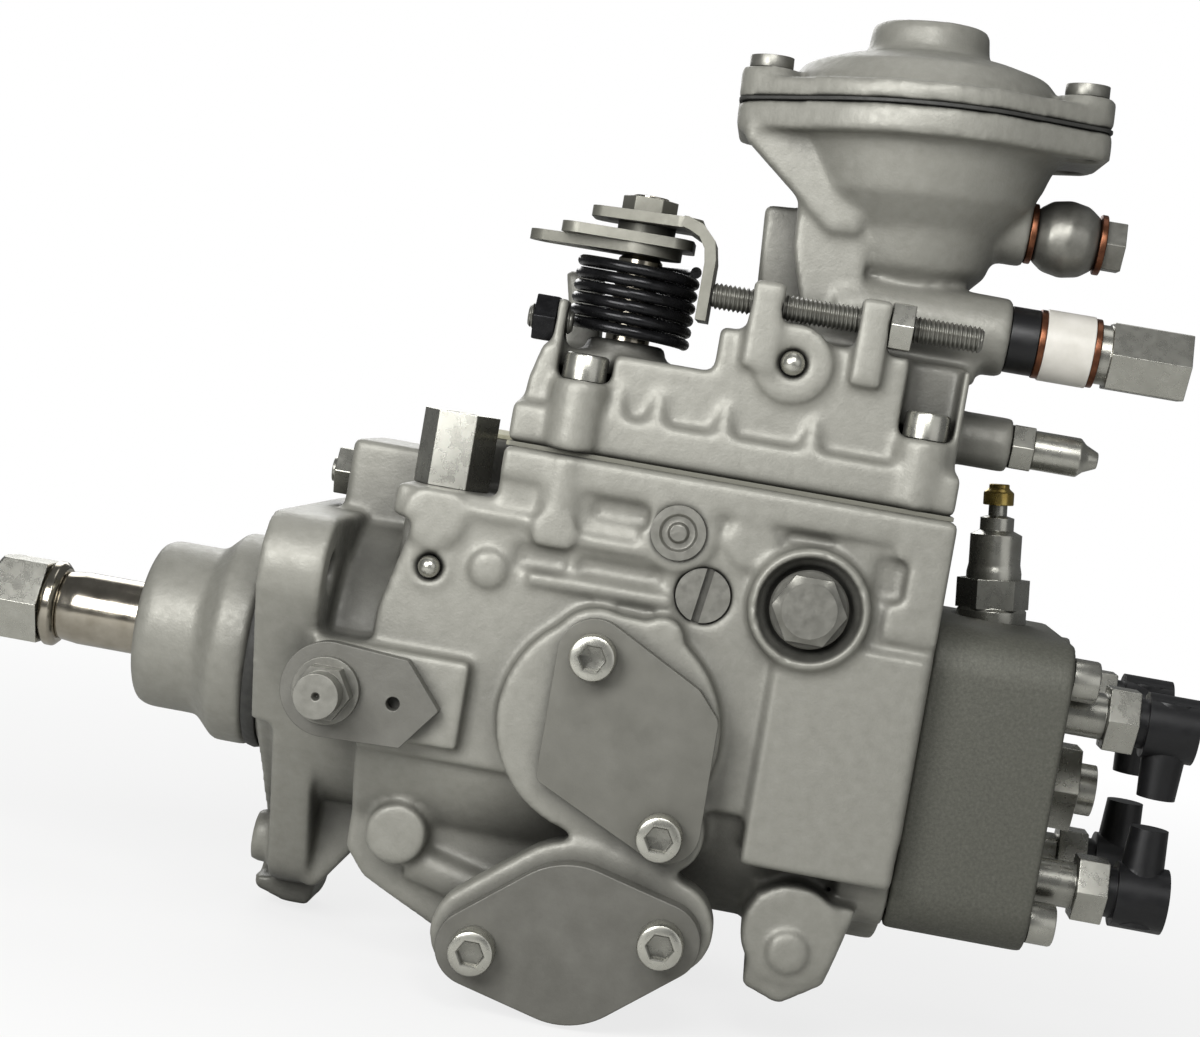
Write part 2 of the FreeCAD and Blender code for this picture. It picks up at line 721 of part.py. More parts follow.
def pump_housing():
    solid = fuse("housing_mass", *housing_blocks(), *housing_side_forms())
    return tag(cut("pump_housing_cut", solid, *housing_recesses(), *housing_bores()), "pump_housing")


def boost_bowl():
    """The bowl of the boost unit with its flange and brace, made upright about its own axis."""
    seam = up(s.boost_seam)
    flange_bottom = seam - s.boost_flange_thick
    wide = s.bowl_rad
    foot = up(s.cover_right_top) - 4
    outline = [
        (0, foot),
        (s.bowl_neck_rad, foot),
        (s.bowl_neck_rad, seam - 38),
        (wide - 12.8, seam - 34),
        (wide - 10.2, seam - 25.5),
        (wide - 3.4, seam - 18),
        (wide, seam - 9),
        (wide + 1.5, flange_bottom),
        (wide + 1.5, seam),
        (0, seam),
    ]
    bowl = turned("boost_bowl", outline)
    flange = plate("bowl_flange", boost_rounds(), s.boost_flange_thick, (0, 0, flange_bottom))
    brace = prism("bowl_brace", [(3 - wide - 12, flange_bottom + 1), (3 - wide - 12, flange_bottom - 2),
                                 (-19, seam - 28), (-12, seam - 28), (-12, flange_bottom + 1)],
                  7, (0, 3 - wide * 0.5, 0), "-y")
    posts = [
        prism("brace_post", [(-20, foot), (-26.5, seam - 33), (-26.5, seam - 21), (-10, seam - 21), (-10, foot)],
              5, (0, 3 - wide * 0.5, 0), "-y"),
        prism("rear_post", [(-26, foot), (-34, foot + 10), (-34, seam - 22), (-26, seam - 22), (-10, seam - 30),
                            (-10, foot)], 12, (0, 8, 0), "-y"),
    ]
    return boost_placed(fuse("boost_bowl_mass", bowl, flange, brace, *posts))


def cover_blocks():
    """The masses of the governor cover under the boost unit."""
    left = s.shelf_end
    right = s.casing_end - 1
    wide = s.cover_half_width
    rim = box("cover_rim", (left, right), (-wide, wide), (cover_base, cover_base + s.cover_rim_height))
    top = s.cover_left_top
    low = prism("cover_low", [(left + 0.8, cover_base), (right - 1.5, cover_base), (right - 1.5, top),
                              (left + 4, top), (left + 2, top - 8)],
                2 * wide - 6, (0, wide - 3, 0), "-y")
    high = box("cover_high", (s.cover_step, right - 1.5), (3 - wide, wide - 3),
               (cover_base, s.cover_right_top))
    return [rim, low, high, boost_bowl()]


def boost_rounds():
    """The outline of the boost unit's flange: a disc with four lugs."""
    x = s.boost_lug_x
    y = s.boost_lug_y
    lug = s.boost_lug_rad
    disc = (0, 0, s.boost_flange_rad)
    return [(-x, -y, lug), disc, (x, -y, lug), (x, y, lug), disc, (-x, y, lug)]


def cover_side_forms():
    """Bosses, columns, lugs and fins that stand on the governor cover."""
    face = 3 - s.cover_half_width
    screw_y = s.speed_screw_y
    screw_z = s.speed_screw_z
    rim_top = cover_base + s.cover_rim_height
    top = s.cover_left_top
    forms = [
        rod("cover_ball_boss", 8.75, 6, (106.8, face + 4, 85.6), "-y"),
        rod("lever_boss", 9, s.cover_left_top + 3.5 - 70, (s.lever_x, s.lever_y, 70)),
        rod("return_boss", 9, 42, (return_start - 42, s.return_y, s.return_z), "x"),
        box("return_web", (114, return_start - 6), (s.return_y - 7, s.return_y + 7),
            (s.cover_right_top - 3, s.return_z)),
        rod("full_load_boss", 6.25, 40, (119, s.full_load_y, s.full_load_z), "x"),
        box("idle_lug", (idle_seat, idle_seat + 2.3), (idle_y - 5.5, idle_y + 4.5),
            (s.cover_left_top - 3, idle_z + 5)),
        prism("rear_turret", [(52, top - 3), (51, top + 3), (53, top + 9.5), (51, top + 18), (60, top + 18),
                              (62, top - 3)], 11, (0, 7, 0), "-y"),
        rod("banjo_boss", 8, banjo_start - 1.5 - s.boost_x - 8, (s.boost_x + 8, 0, banjo_z), "x"),
        rod("front_column", 6, 17.5, (s.cover_bolt_left, side_wall + 3.5, cover_base)),
    ]
    for start, end in ((95.5, 102.8), (119.5, 126.2)):
        foot = s.cover_right_top - 8
        stem = box("screw_lug_stem", (start, end), (screw_y - 5, screw_y + 5), (foot, screw_z + 5))
        forms.append(stem)
    for x, y in cover_bolts_at:
        forms.append(rod("cover_column", 7, 15.5, (x, cover_bolt_side * y, cover_base)))
    for x in (70.6, 79.5, 94.4, 113.8):
        forms.append(cone("cover_fin", 3, 0.8, 7.5, (x, face, rim_top - 0.5)))
    return forms


def boost_bores():
    """The room for the piston, its pin bore and the tapped holes of the boost unit's flange."""
    seam = up(s.boost_seam)
    start = up(s.cover_right_top) - 16
    tools = [
        rod("bowl_core", s.bowl_rad - 8, 20, (0, 0, seam - 16)),
        rod("boost_pin_bore", s.boost_pin_rad + s.running_fit, seam - 10 - start, (0, 0, start)),
    ]
    for x, y in boost_lugs:
        tools.append(rod("lid_screw_bore", tapped, s.boost_flange_thick + 2,
                         (x, y, seam - s.boost_flange_thick - 1)))
    return boost_placed(fuse("boost_bore_tools", *tools))


def cover_bores():
    inner = s.cover_half_width - s.cover_wall - 2
    left = s.shelf_end + s.cover_wall
    right = s.casing_end - 1 - s.cover_wall
    roof = s.cover_left_top - 5
    bores = [
        box("cover_core", (left, right), (-inner, inner), (cover_base - 1, roof)),
        box("cover_high_core", (s.cover_step + 4, right - 6), (9 - inner, inner - 9),
            (roof - 1, s.cover_right_top - 5)),
        boost_bores(),
        rod("lever_shaft_bore", s.lever_shaft_rad + s.running_fit, 40, (s.lever_x, s.lever_y, 60)),
        rod("full_load_bore", tapped, 40, (125, s.full_load_y, s.full_load_z), "x"),
        rod("return_bore", 6.1, 30, (return_start - 19, s.return_y, s.return_z), "x"),
        rod("banjo_bore", 4.1, 15, (banjo_start - 13, 0, banjo_z), "x"),
        rod("banjo_face", 8.6, 14, (banjo_start - 1.5, 0, banjo_z), "x"),
        rod("speed_screw_bore", tapped, 40, (90, s.speed_screw_y, s.speed_screw_z), "x"),
        rod("idle_screw_bore", tapped, 12, (idle_seat - 6, idle_y, idle_z), "x"),
        rod("cover_ball_bore", 2.85, 8, (106.8, 7 - s.cover_half_width, 85.6), "-y"),
    ]
    for x, y in cover_bolts_at:
        at = (x, cover_bolt_side * y)
        reach = (cover_bolt_side - 6) * y, (cover_bolt_side + 12) * y
        head = s.screw_head_rad + 1
        bores.append(rod("bolt_bore", tapped, 30, at + (cover_base - 1,)))
        bores.append(box("bolt_notch", (x - head, x + head), reach if y > 0 else reach[::-1],
                         (cover_base + 15.5, cover_base + 45)))
    return bores


def governor_cover():
    solid = fuse("cover_mass", *cover_blocks(), *cover_side_forms())
    return tag(cut("governor_cover_cut", solid, *cover_bores()), "governor_cover")


def cover_gasket():
    """A paper gasket whose left end lies bare on the casing."""
    outer = box("gasket_outer", (s.shelf_end, s.casing_end - 1), (-s.cover_half_width, s.cover_half_width),
                (s.casing_top, cover_base))
    tab = box("gasket_tab", (s.casing_start + 1, s.shelf_end + 1), (-6, s.cover_half_width - 2),
              (s.casing_top, cover_base))
    window = box("gasket_window", (54, s.casing_end - 8), (10 - s.cover_half_width, s.cover_half_width - 10),
                 (s.casing_top - 1, cover_base + 1))
    holes = [rod("gasket_hole", tapped, 4, (x, cover_bolt_side * y, s.casing_top - 1))
             for x, y in cover_bolts_at]
    return tag(cut("gasket_cut", fuse("gasket_sheet", outer, tab), window, *holes), "cover_gasket")


def cover_bolts():
    screws = [socket_screw("cover_bolt", (x, cover_bolt_side * y, cover_base + 15.5), "z", 30)
              for x, y in cover_bolts_at]
    return tag(group("cover_bolt_group", *screws), "cover_bolts")


def boost_diaphragm():
    """The rubber sheet whose rim shows as the seam of the boost unit."""
    sheet = plate("diaphragm_sheet", boost_rounds(), s.diaphragm_thick, (0, 0, up(s.boost_seam)))
    holes = [rod("diaphragm_hole", tapped, 3, (x, y, up(s.boost_seam) - 1)) for x, y in boost_lugs]
    holes.append(rod("diaphragm_middle", 16.3, 3, (0, 0, up(s.boost_seam) - 1)))
    return tag(boost_placed(cut("diaphragm_cut", sheet, *holes)), "boost_diaphragm")


def boost_lid():
    base = up(s.boost_seam) + s.diaphragm_thick
    flange = plate("lid_flange", boost_rounds(), 4.5, (0, 0, base))
    wide = s.boost_flange_rad - 6
    outline = [
        (0, base),
        (wide + 1, base),
        (wide, base + 6.5),
        (wide - 3.5, base + 10.5),
        (wide - 11, base + 13),
        (s.lid_boss_rad + 0.6, base + 14.5),
        (s.lid_boss_rad, up(s.lid_top) - 1),
        (s.lid_boss_rad - 1, up(s.lid_top)),
        (0, up(s.lid_top)),
    ]
    dome = turned("lid_dome", outline)
    bosses = [rod("lid_screw_boss", 6.6, 7, (x, y, base)) for x, y in boost_lugs]
    core = rod("lid_core", 22, 8.5, (0, 0, base - 1))
    holes = [rod("lid_hole", tapped, 12, (x, y, base - 1)) for x, y in boost_lugs]
    faces = [rod("lid_spot_face", s.screw_head_rad + 1, 20, (x, y, base + 7)) for x, y in boost_lugs]
    solid = cut("boost_lid_cut", fuse("lid_mass", flange, dome, *bosses), core, *holes, *faces)
    return tag(boost_placed(solid), "boost_lid")


def boost_lid_screws():
    seat = up(s.boost_seam) + s.diaphragm_thick + 7
    screws = [socket_screw("lid_screw", (x, y, seat), "z", 13.5) for x, y in boost_lugs]
    return tag(boost_placed(group("lid_screw_group", *screws)), "boost_lid_screws")


def boost_piston():
    """The diaphragm's plate with its feeler pin."""
    top = up(s.boost_seam) + 0.6
    tip = up(s.cover_right_top) - 7
    outline = [
        (0, tip),
        (s.boost_pin_rad - 1, tip),
        (s.boost_pin_rad, tip + 6),
        (s.boost_pin_rad, top - 3),
        (16, top - 3),
        (16, top),
        (7, top + 2),
        (0, top + 2),
    ]
    return tag(boost_placed(turned("boost_piston_turned", outline)), "boost_piston")


def solenoid_placed(item):
    """Stand a piece on the top of the head, where the solenoid leans."""
    return tilted(item, (s.solenoid_x, 10, s.head_half_height - 1), s.solenoid_lean)


def hydraulic_head():
    block = plate("head_block", head_rounds(), s.head_length, (head_start, 0, 0), "x")
    spigot = rod("head_spigot_rod", s.chamber_rad - s.running_fit, s.head_spigot + 1,
                 (head_start - s.head_spigot, 0, 0), "x")
    wells = [
        rod("solenoid_bore", 6.1, 10, (0, 0, -9)),
        rod("solenoid_seat", 3.4, 22, (0, 0, -22)),
        rod("solenoid_face", 8.5, 5, (0, 0, 0)),
    ]
    bores = [
        rod("plunger_bore", s.plunger_rad + 0.02, 40, (head_start - s.head_spigot - 1, 0, 0), "x"),
        rod("center_plug_bore", s.plug_thread_rad + s.bolt_fit, 12, (head_end - 11, 0, 0), "x"),
        solenoid_placed(fuse("solenoid_wells", *wells)),
    ]
    for y, z in outlets:
        side = s.outlet_offset * y
        rise = s.outlet_offset * z
        bores.append(rod("outlet_bore", s.outlet_thread_rad + s.bolt_fit, 14, (head_end - 13, side, rise), "x"))
        bores.append(rod("valve_bore", s.valve_rad + s.running_fit, 20, (head_end - 20, side, rise), "x"))
        at = (head_start - 1, s.head_bolt_side * y, s.head_bolt_rise * z)
        bores.append(rod("head_bolt_hole", tapped, s.head_length + 2, at, "x"))
    return tag(cut("head_cut", fuse("head_mass", block, spigot), *bores), "hydraulic_head")


def head_bolts():
    screws = [socket_screw("head_bolt", (head_end, s.head_bolt_side * y, s.head_bolt_rise * z), "x",
                           s.head_length + 12, 4.75) for y, z in outlets]
    return tag(group("head_bolt_group", *screws), "head_bolts")


def head_center_plug():
    thread = rod("center_plug_thread", s.plug_thread_rad, 11, (head_end - 11, 0, 0), "x")
    flats = hexagon("center_plug_hex", s.plug_across, 9, (head_end, 0, 0), "x")
    tip = rod("center_plug_tip", 6, 13.5, (head_end, 0, 0), "x")
    return tag(fuse("center_plug", thread, flats, tip), "head_center_plug")


def delivery_holders():
    holders = []
    for y, z in outlets:
        at = (s.outlet_offset * y, s.outlet_offset * z)
        neck_end = head_end + s.holder_neck
        thread = rod("holder_thread", s.outlet_thread_rad, 12, (head_end - 12,) + at, "x")
        neck = rod("holder_neck", s.outlet_thread_rad - 0.75, s.holder_neck, (head_end,) + at, "x")
        flats = hexagon("holder_hex", s.outlet_across, 7, (neck_end,) + at, "x")
        nipple = rod("holder_nipple", 4.5, 10.5, (neck_end + 6.5,) + at, "x")
        bore = rod("holder_bore", s.valve_rad + s.running_fit, 20, (head_end - 13,) + at, "x")
        holders.append(cut("delivery_holder", fuse("holder_mass", thread, neck, flats, nipple), bore))
    return tag(group("holder_group", *holders), "delivery_holders")


def delivery_valve(number, y, z):
    """A delivery valve with its stem, resting on its seat in the head."""
    seat = head_end - 20
    outline = [
        (0, seat + 0.2),
        (s.valve_rad, seat + 0.2),
        (s.valve_rad, seat + 8),
        (1.8, seat + 9.5),
        (1.8, seat + 14),
        (0, seat + 14),
    ]
    valve = turned(f"valve_{number}", outline, (0, s.outlet_offset * y, s.outlet_offset * z), "x")
    return tag(valve, f"delivery_valve_{number}")


def outlet_caps():
    """Right angled rubber caps; the upper ones hang down and the lower ones stand up."""
    caps = []
    for y, z in outlets:
        side = s.outlet_offset * y
        rise = s.outlet_offset * z
        start = head_end + s.holder_neck + 7.1
        collar = rod("cap_collar", 5.6, 3, (start, side, rise), "x")
        body = rod("cap_body", s.cap_rad, 11.5, (start + 2, side, rise), "x")
        tail = cone("cap_tail", 5.6, 4.3, 22, (start + 7.5, side, rise + 6 * z), "-z" if z > 0 else "z")
        bore = rod("cap_bore", 4.5 + 0.05, 10.6, (start - 0.5, side, rise), "x")
        caps.append(cut("outlet_cap", fuse("cap_mass", collar, body, tail), bore))
    return tag(group("cap_group", *caps), "outlet_caps")


def shutoff_solenoid():
    outline = [
        (0, -7), (6, -7), (6, 0), (8.2, 0), (8.2, 3), (6.5, 5),
        (6.5, 12), (6.1, 14), (6.1, 21), (4, 22), (4, 25),
        (2.2, 25.5), (2.2, 28), (0, 28),
    ]
    body = turned("solenoid_turned", outline)
    flats = hexagon("solenoid_hex", 15, 7, (0, 0, 3.5))
    bore = rod("solenoid_plunger_bore", 3 + s.running_fit, 10, (0, 0, -8))
    solid = cut("solenoid_cut", fuse("solenoid_mass", body, flats), bore)
    return tag(solenoid_placed(solid), "shutoff_solenoid")


def terminal_nut():
    outline = [(0, 28), (3.6, 28), (3.6, 31), (2.4, 32), (2.4, 33), (0, 33)]
    return tag(solenoid_placed(turned("terminal_nut_turned", outline)), "terminal_nut")


def solenoid_plunger():
    outline = [(0, -19.7), (1.5, -19.7), (3, -17), (3, -2), (0, -2)]
    return tag(solenoid_placed(turned("solenoid_plunger_turned", outline)), "solenoid_plunger")


def side_cover():
    """The plate over the side bore, round its two screws and cut back at one corner."""
    (x0, z0), (x1, z1) = side_screws_at
    rounds = [(-11.3, -12.1, 2), (x1 + 1, z1 + 1.5, 7.5), (20.5, 5, 3), (16.5, 9.5, 3), (x0, z0, 8)]
    holes = [(x0, z0, tapped), (x1, z1, tapped)]
    at = (s.side_pad_x, -s.side_pad_face, s.side_pad_z)
    return tag(plate("side_cover_plate", rounds, s.side_cover_thick, at, "-y", holes), "side_cover")


def cover_screws():
    """The screws of the side cover and of both timing covers."""
    screws = []
    for x, z in side_screws_at:
        at = (s.side_pad_x + x, -s.side_pad_face - s.side_cover_thick, s.side_pad_z + z)
        screws.append(socket_screw("side_screw", at, "-y", 12))
    for hand, facing in timing_covers_at:
        for end in (-1, 1):
            at = (s.timing_x + s.timing_screw_run * end,
                  hand * (s.timing_face + s.timing_cover_thick),
                  s.timing_screw_rise * end - s.timing_drop)
            screws.append(socket_screw("timing_screw", at, facing, 15))
    return tag(group("cover_screw_group", *screws), "cover_screws")


def timing_covers():
    covers = []
    for hand, facing in timing_covers_at:
        run = s.timing_screw_run
        rise = s.timing_screw_rise * -hand
        holes = [(-run, -rise, tapped), (run, rise, tapped)]
        at = (s.timing_x, hand * s.timing_face, -s.timing_drop)
        covers.append(plate("timing_cover", timing_rounds(-hand), s.timing_cover_thick, at, facing, holes))
    return tag(group("timing_cover_pair", *covers), "timing_covers")


def support_plate():
    rounds = [(0, 0, 10.5), (17.3, -9.3, 0.6), (24.1, -0.4, 0.6), (16.2, 8.8, 0.6)]
    holes = [(0, 0, 4.1), (14.7, -0.5, 1.5)]
    plate_body = plate("support_plate_pad", rounds, 4, (19.5, -47, -1.5), "-y", holes)
    return tag(plate_body, "support_plate")


def support_bolt():
    parts = [
        rod("support_thread", 4, 22, (19.5, -29, -1.5), "-y"),
        rod("support_washer", 7.4, 2.4, (19.5, -51, -1.5), "-y"),
        hexagon("support_hex", 11, 5.5, (19.5, -53, -1.5), "-y"),
        rod("support_tip", 4.9, 6.5, (19.5, -58, -1.5), "-y"),
    ]
    dimple = cone("support_dimple", 0.2, 1.2, 2, (19.5, -63, -1.5), "-y")
    return tag(cut("support_bolt_cut", fuse("support_mass", *parts), dimple), "support_bolt")


def side_hex_plug():
    parts = [
        rod("hex_plug_thread", 5, 6, (hex_plug_x, side_wall + 6.3, hex_plug_z), "-y"),
        rod("hex_plug_collar", 8.6, 2, (hex_plug_x, side_wall + 1.5, hex_plug_z), "-y"),
        hexagon("hex_plug_head", 14, 8.5, (hex_plug_x, side_wall + 0.5, hex_plug_z), "-y"),
    ]
    return tag(fuse("hex_plug", *parts), "side_hex_plug")


def press_plugs():
    """The slotted plug, the ringed plug and the two ball plugs."""
    slotted = rod("slotted_plug", 6, 6, (slot_plug_x, side_wall + 6, slot_plug_z), "-y")
    slot = box("plug_slot", (-0.9, 0.9), (-7, 7), (0, 1.6))
    slot.Placement = FreeCAD.Placement(V(slot_plug_x, side_wall.value + 1.2, slot_plug_z),
                                       FACING["-y"] * FreeCAD.Rotation(V(0, 0, 1), -20))
    bind(slot, "Placement.Base.x", slot_plug_x)
    bind(slot, "Placement.Base.y", side_wall + 1.2)
    bind(slot, "Placement.Base.z", slot_plug_z)
    outline = [
        (0, -8), (5, -8), (5, 1.5), (6, 1.5), (6, 2.7), (4.2, 2.7), (3.6, 2), (2.4, 2), (1.8, 2.9), (0, 2.9),
    ]
    ringed = turned("ringed_plug", outline, (88.8, side_wall, 45.1), "-y")
    balls = [
        ball("casing_ball", 2.5, (36, side_wall, 28.2)),
        ball("cover_ball", 2.75, (106.8, 1.5 - s.cover_half_width, 85.6)),
    ]
    return tag(group("plug_group", cut("slotted_plug_cut", slotted, slot), ringed, *balls), "press_plugs")


def rubber_seals():
    """The ring in the pilot's groove and the lip seal of the shaft."""
    floor = s.pilot_rad - s.seal_groove_depth
    width = s.seal_groove_width
    start = -s.pilot_reach + 8
    outline = [
        (floor, start + 0.2),
        (s.pilot_rad - 0.2, start + 0.2),
        (s.pilot_rad + 0.2, start + width / 2),
        (s.pilot_rad - 0.2, start + width - 0.2),
        (floor, start + width - 0.2),
    ]
    ring = turned("pilot_ring", outline, (0, 0, 0), "x")
    lip = [
        (14.5, 1 - s.nose_reach),
        (14.5, 8.5 - s.nose_reach),
        (11.5, 8.5 - s.nose_reach),
        (s.shaft_rad + 0.02, 5 - s.nose_reach),
        (s.shaft_rad + 0.02, 4 - s.nose_reach),
        (11.5, 1 - s.nose_reach),
    ]
    seal = turned("shaft_seal_ring", lip, (0, 0, 0), "x")
    return tag(group("seal_group", ring, seal), "rubber_seals")


def feed_pump_ring():
    """The feed pump's eccentric ring and the plate that shuts it."""
    ring = cut("cam_ring_cut", rod("cam_ring", s.feed_ring_rad, s.feed_width, (14, 0, 0), "x"),
               rod("cam_ring_bore", 20.5, s.feed_width + 2, (13, 1.8, 0), "x"))
    end_plate = cut("end_plate_cut", rod("end_plate", s.feed_ring_rad, 4, (s.feed_width + 14, 0, 0), "x"),
                    rod("end_plate_bore", s.shaft_rad + 0.1, 6, (s.feed_width + 13, 0, 0), "x"))
    return tag(group("feed_ring_group", ring, end_plate), "feed_pump_ring")


def feed_pump_rotor():
    """The slotted rotor with its four vanes."""
    width = s.feed_width - 0.2
    start = 14.1
    slots = []
    vanes = []
    for angle in (0, 90, 180, 270):
        slots.append(spoke("rotor_slot", 12.5, 8, 1.6, width + 2, angle, (start - 1, 0, 0)))
        vanes.append(spoke("rotor_vane", 12.7, 5.6, 1.5, width, angle, (start, 0, 0)))
    body = rod("rotor_body", 18.4, width, (start, 0, 0), "x")
    bore = rod("rotor_bore", s.shaft_rad + 0.02, width + 2, (start - 1, 0, 0), "x")
    return tag(group("rotor_group", cut("rotor_cut", body, bore, *slots), *vanes), "feed_pump_rotor")


def drive_shaft():
    thread = s.shaft_thread_rad
    outline = [
        (0, -s.shaft_end_reach),
        (thread - 1, -s.shaft_end_reach),
        (thread, -s.shaft_end_reach + 1),
        (thread, -55),
        (s.shaft_end_rad - 0.6, -55),
        (s.shaft_end_rad, -50),
        (s.shaft_end_rad, -s.nose_reach - 0.5),
        (s.shaft_rad, -s.nose_reach + 0.8),
        (s.shaft_rad, 86),
        (0, 86),
    ]
    return tag(turned("drive_shaft_turned", outline, (0, 0, 0), "x"), "drive_shaft")


def shaft_nut():
    start = -59 - s.shaft_nut_height
    blank = hexagon("shaft_nut_hex", s.shaft_nut_across, s.shaft_nut_height, (start, 0, 0), "x")
    outline = [
        (0, 0),
        (s.shaft_nut_across * 0.5 - 0.3, 0),
        (s.shaft_nut_across * 0.58, 1.6),
        (s.shaft_nut_across * 0.58, s.shaft_nut_height),
        (0, s.shaft_nut_height),
    ]
    corner = turned("shaft_nut_chamfer", outline, (start, 0, 0), "x")
    rounded = doc.addObject("Part::MultiCommon", "shaft_nut_rounded")
    rounded.Shapes = [blank, corner]
    bore = rod("shaft_nut_bore", s.shaft_thread_rad + 0.05, s.shaft_nut_height + 2, (start - 1, 0, 0), "x")
    return tag(cut("shaft_nut_cut", rounded, bore), "shaft_nut")


def shaft_lock_ring():
    outline = [
        (s.shaft_thread_rad + 0.05, -59),
        (s.lock_ring_rad - 1.2, -59),
        (s.lock_ring_rad, -59 + s.lock_ring_height * 0.3),
        (s.lock_ring_rad, -59 + s.lock_ring_height * 0.7),
        (s.lock_ring_rad - 1.2, -59 + s.lock_ring_height),
        (s.shaft_thread_rad + 0.05, -59 + s.lock_ring_height),
    ]
    return tag(turned("lock_ring_turned", outline, (0, 0, 0), "x"), "shaft_lock_ring")


def gear_line():
    """Distance and angle from the drive shaft to the governor axle."""
    side = s.governor_side.value
    rise = s.governor_rise.value
    return math.hypot(side, rise), math.degrees(math.atan2(rise, side))


def drive_gear():
    reach, angle = gear_line()
    teeth = s.drive_gear_teeth.value
    pitch_rad = reach * teeth / (teeth + s.governor_gear_teeth.value)
    gear = gear_blank("drive_gear_teethed", teeth, pitch_rad, s.shaft_rad + 0.02, s.gear_width, angle,
                      (s.gear_start, 0, 0), "x")
    return tag(gear, "drive_gear")


def governor_cage():
    """The driven gear with the cup that carries the four flyweights."""
    reach, angle = gear_line()
    teeth = s.governor_gear_teeth.value
    pitch_rad = reach * teeth / (teeth + s.drive_gear_teeth.value)
    bore = s.governor_axle_rad + s.running_fit
    at = (s.gear_start, s.governor_side, s.governor_rise)
    gear = gear_blank("governor_gear", teeth, pitch_rad, bore, s.gear_width,
                      angle + 180 + 180 / teeth, at, "x")
    cup_start = s.gear_start + s.gear_width
    outline = [
        (bore, 0),
        (s.cage_rad, 0),
        (s.cage_rad, 17),
        (s.cage_rad - 1.2, 17),
        (s.cage_rad - 1.2, 2),
        (bore, 2),
    ]
    cup = turned("governor_cup", outline, (cup_start, s.governor_side, s.governor_rise), "x")
    weights = []
    for turn in range(4):
        at = (cup_start + 2.1, s.governor_side, s.governor_rise)
        weights.append(spoke("flyweight", 9.6, 3.6, 7, 12, 90 * turn + 45, at))
    solid = fuse("governor_cage_solid", gear, cup)
    return tag(group("governor_cage_group", solid, *weights), "governor_cage")


def governor_axle():
    """The axle of the governor, held by the hexagon at its outer end."""
    at = (s.governor_side, s.governor_rise)
    parts = [
        rod("axle_rod", s.governor_axle_rad, 101, (4,) + at, "x"),
        hexagon("axle_hex", 11, 5.5, (s.governor_wall - 5.5,) + at, "x"),
        rod("axle_tip", 3, 1.2, (s.governor_wall - 6.7,) + at, "x"),
    ]
    return tag(fuse("axle_mass", *parts), "governor_axle")


def governor_sleeve():
    start = s.gear_start + s.gear_width + 19
    end = 115 - s.seat_gap
    bore = s.governor_axle_rad + s.running_fit
    outline = [
        (bore, start), (9, start), (9, start + 3), (7, start + 4), (7, end - 4),
        (3, end), (0, end), (0, end - 5), (bore, end - 5),
    ]
    return tag(turned("sleeve_turned", outline, (0, s.governor_side, s.governor_rise), "x"),
               "governor_sleeve")


def governor_lever():
    """The lever between the sleeve and the spill collar, with its pivot pin and ball end."""
    arm = plate("lever_arm", [(-1, 14.5, 3), (10, 43, 8), (10, 52, 6), (-5, 44, 3), (-4, 16, 2)], 4,
                (pivot_x - 2, 0, 0), "x")
    pin = rod("lever_pin", 2, 73, (pivot_x, 36.5, pivot_z), "-y")
    stem = rod("lever_stem", 1.6, 6, (pivot_x, 0, 8.5), "z")
    tip = ball("lever_ball", 2.2, (pivot_x, 0, 8.5))
    return tag(fuse("lever_mass", arm, pin, stem, tip), "governor_lever")


def spill_collar():
    start = pivot_x - 5
    outline = [
        (s.plunger_rad + s.running_fit, start), (s.collar_rad, start), (s.collar_rad, start + 10),
        (s.plunger_rad + s.running_fit, start + 10),
    ]
    ring = turned("collar_turned", outline, (0, 0, 0), "x")
    return tag(cut("collar_cut", ring, rod("collar_hole", 2.5, 8, (pivot_x, 0, 6))), "spill_collar")


def roller_ring():
    """The ring that carries the four cam rollers, with the pin that turns it."""
    start = s.timing_x - 8.7
    ring = rod("ring_rod", s.roller_ring_rad, 14, (start, 0, 0), "x")
    bore = rod("ring_inner", 13, 16, (start - 1, 0, 0), "x")
    hole = rod("ring_pin_hole", 3.05, 8, (s.timing_x, 0, -s.roller_ring_rad - 1), "z")
    seats = []
    rollers = []
    axis_x = start + 13
    for turn in range(4):
        angle = 90 * turn + 45
        seats.append(radial_rod("roller_seat", s.roller_rad + 0.05, 9, 15.5, angle, axis_x))
        rollers.append(radial_rod("cam_roller", s.roller_rad, 8, 16, angle, axis_x))
    ring_solid = cut("ring_cut", ring, bore, hole, *seats)
    top = 4 - s.roller_ring_rad
    pin = rod("slider_pin", 3, s.timing_drop - 4 + top, (s.timing_x, 0, 4 - s.timing_drop))
    return tag(group("ring_group", ring_solid, pin, *rollers), "roller_ring")


def cam_plate():
    """The face cam with its four lobes, and the pumping plunger that turns with it."""
    start = s.timing_x - 8.7 + 13 + s.roller_rad + 0.2
    disc = rod("cam_disc", s.cam_plate_rad, 7, (start, 0, 0), "x")
    dog = box("cam_dog", (start - 2, start + 0.1), (-9, 9), (-3, 3))
    valleys = [radial_rod("cam_valley", 9, 20, 9, 90 * turn, start - 7) for turn in range(4)]
    disc_cut = cut("cam_disc_cut", disc, *valleys)
    foot_rod = rod("plunger_foot", 9, 3, (start + 7, 0, 0), "x")
    stem = rod("plunger_stem", s.plunger_rad, 72, (start + 7, 0, 0), "x")
    plunger = fuse("plunger_mass", foot_rod, stem)
    return tag(group("cam_group", fuse("cam_disc_mass", disc_cut, dog), plunger), "cam_plate")


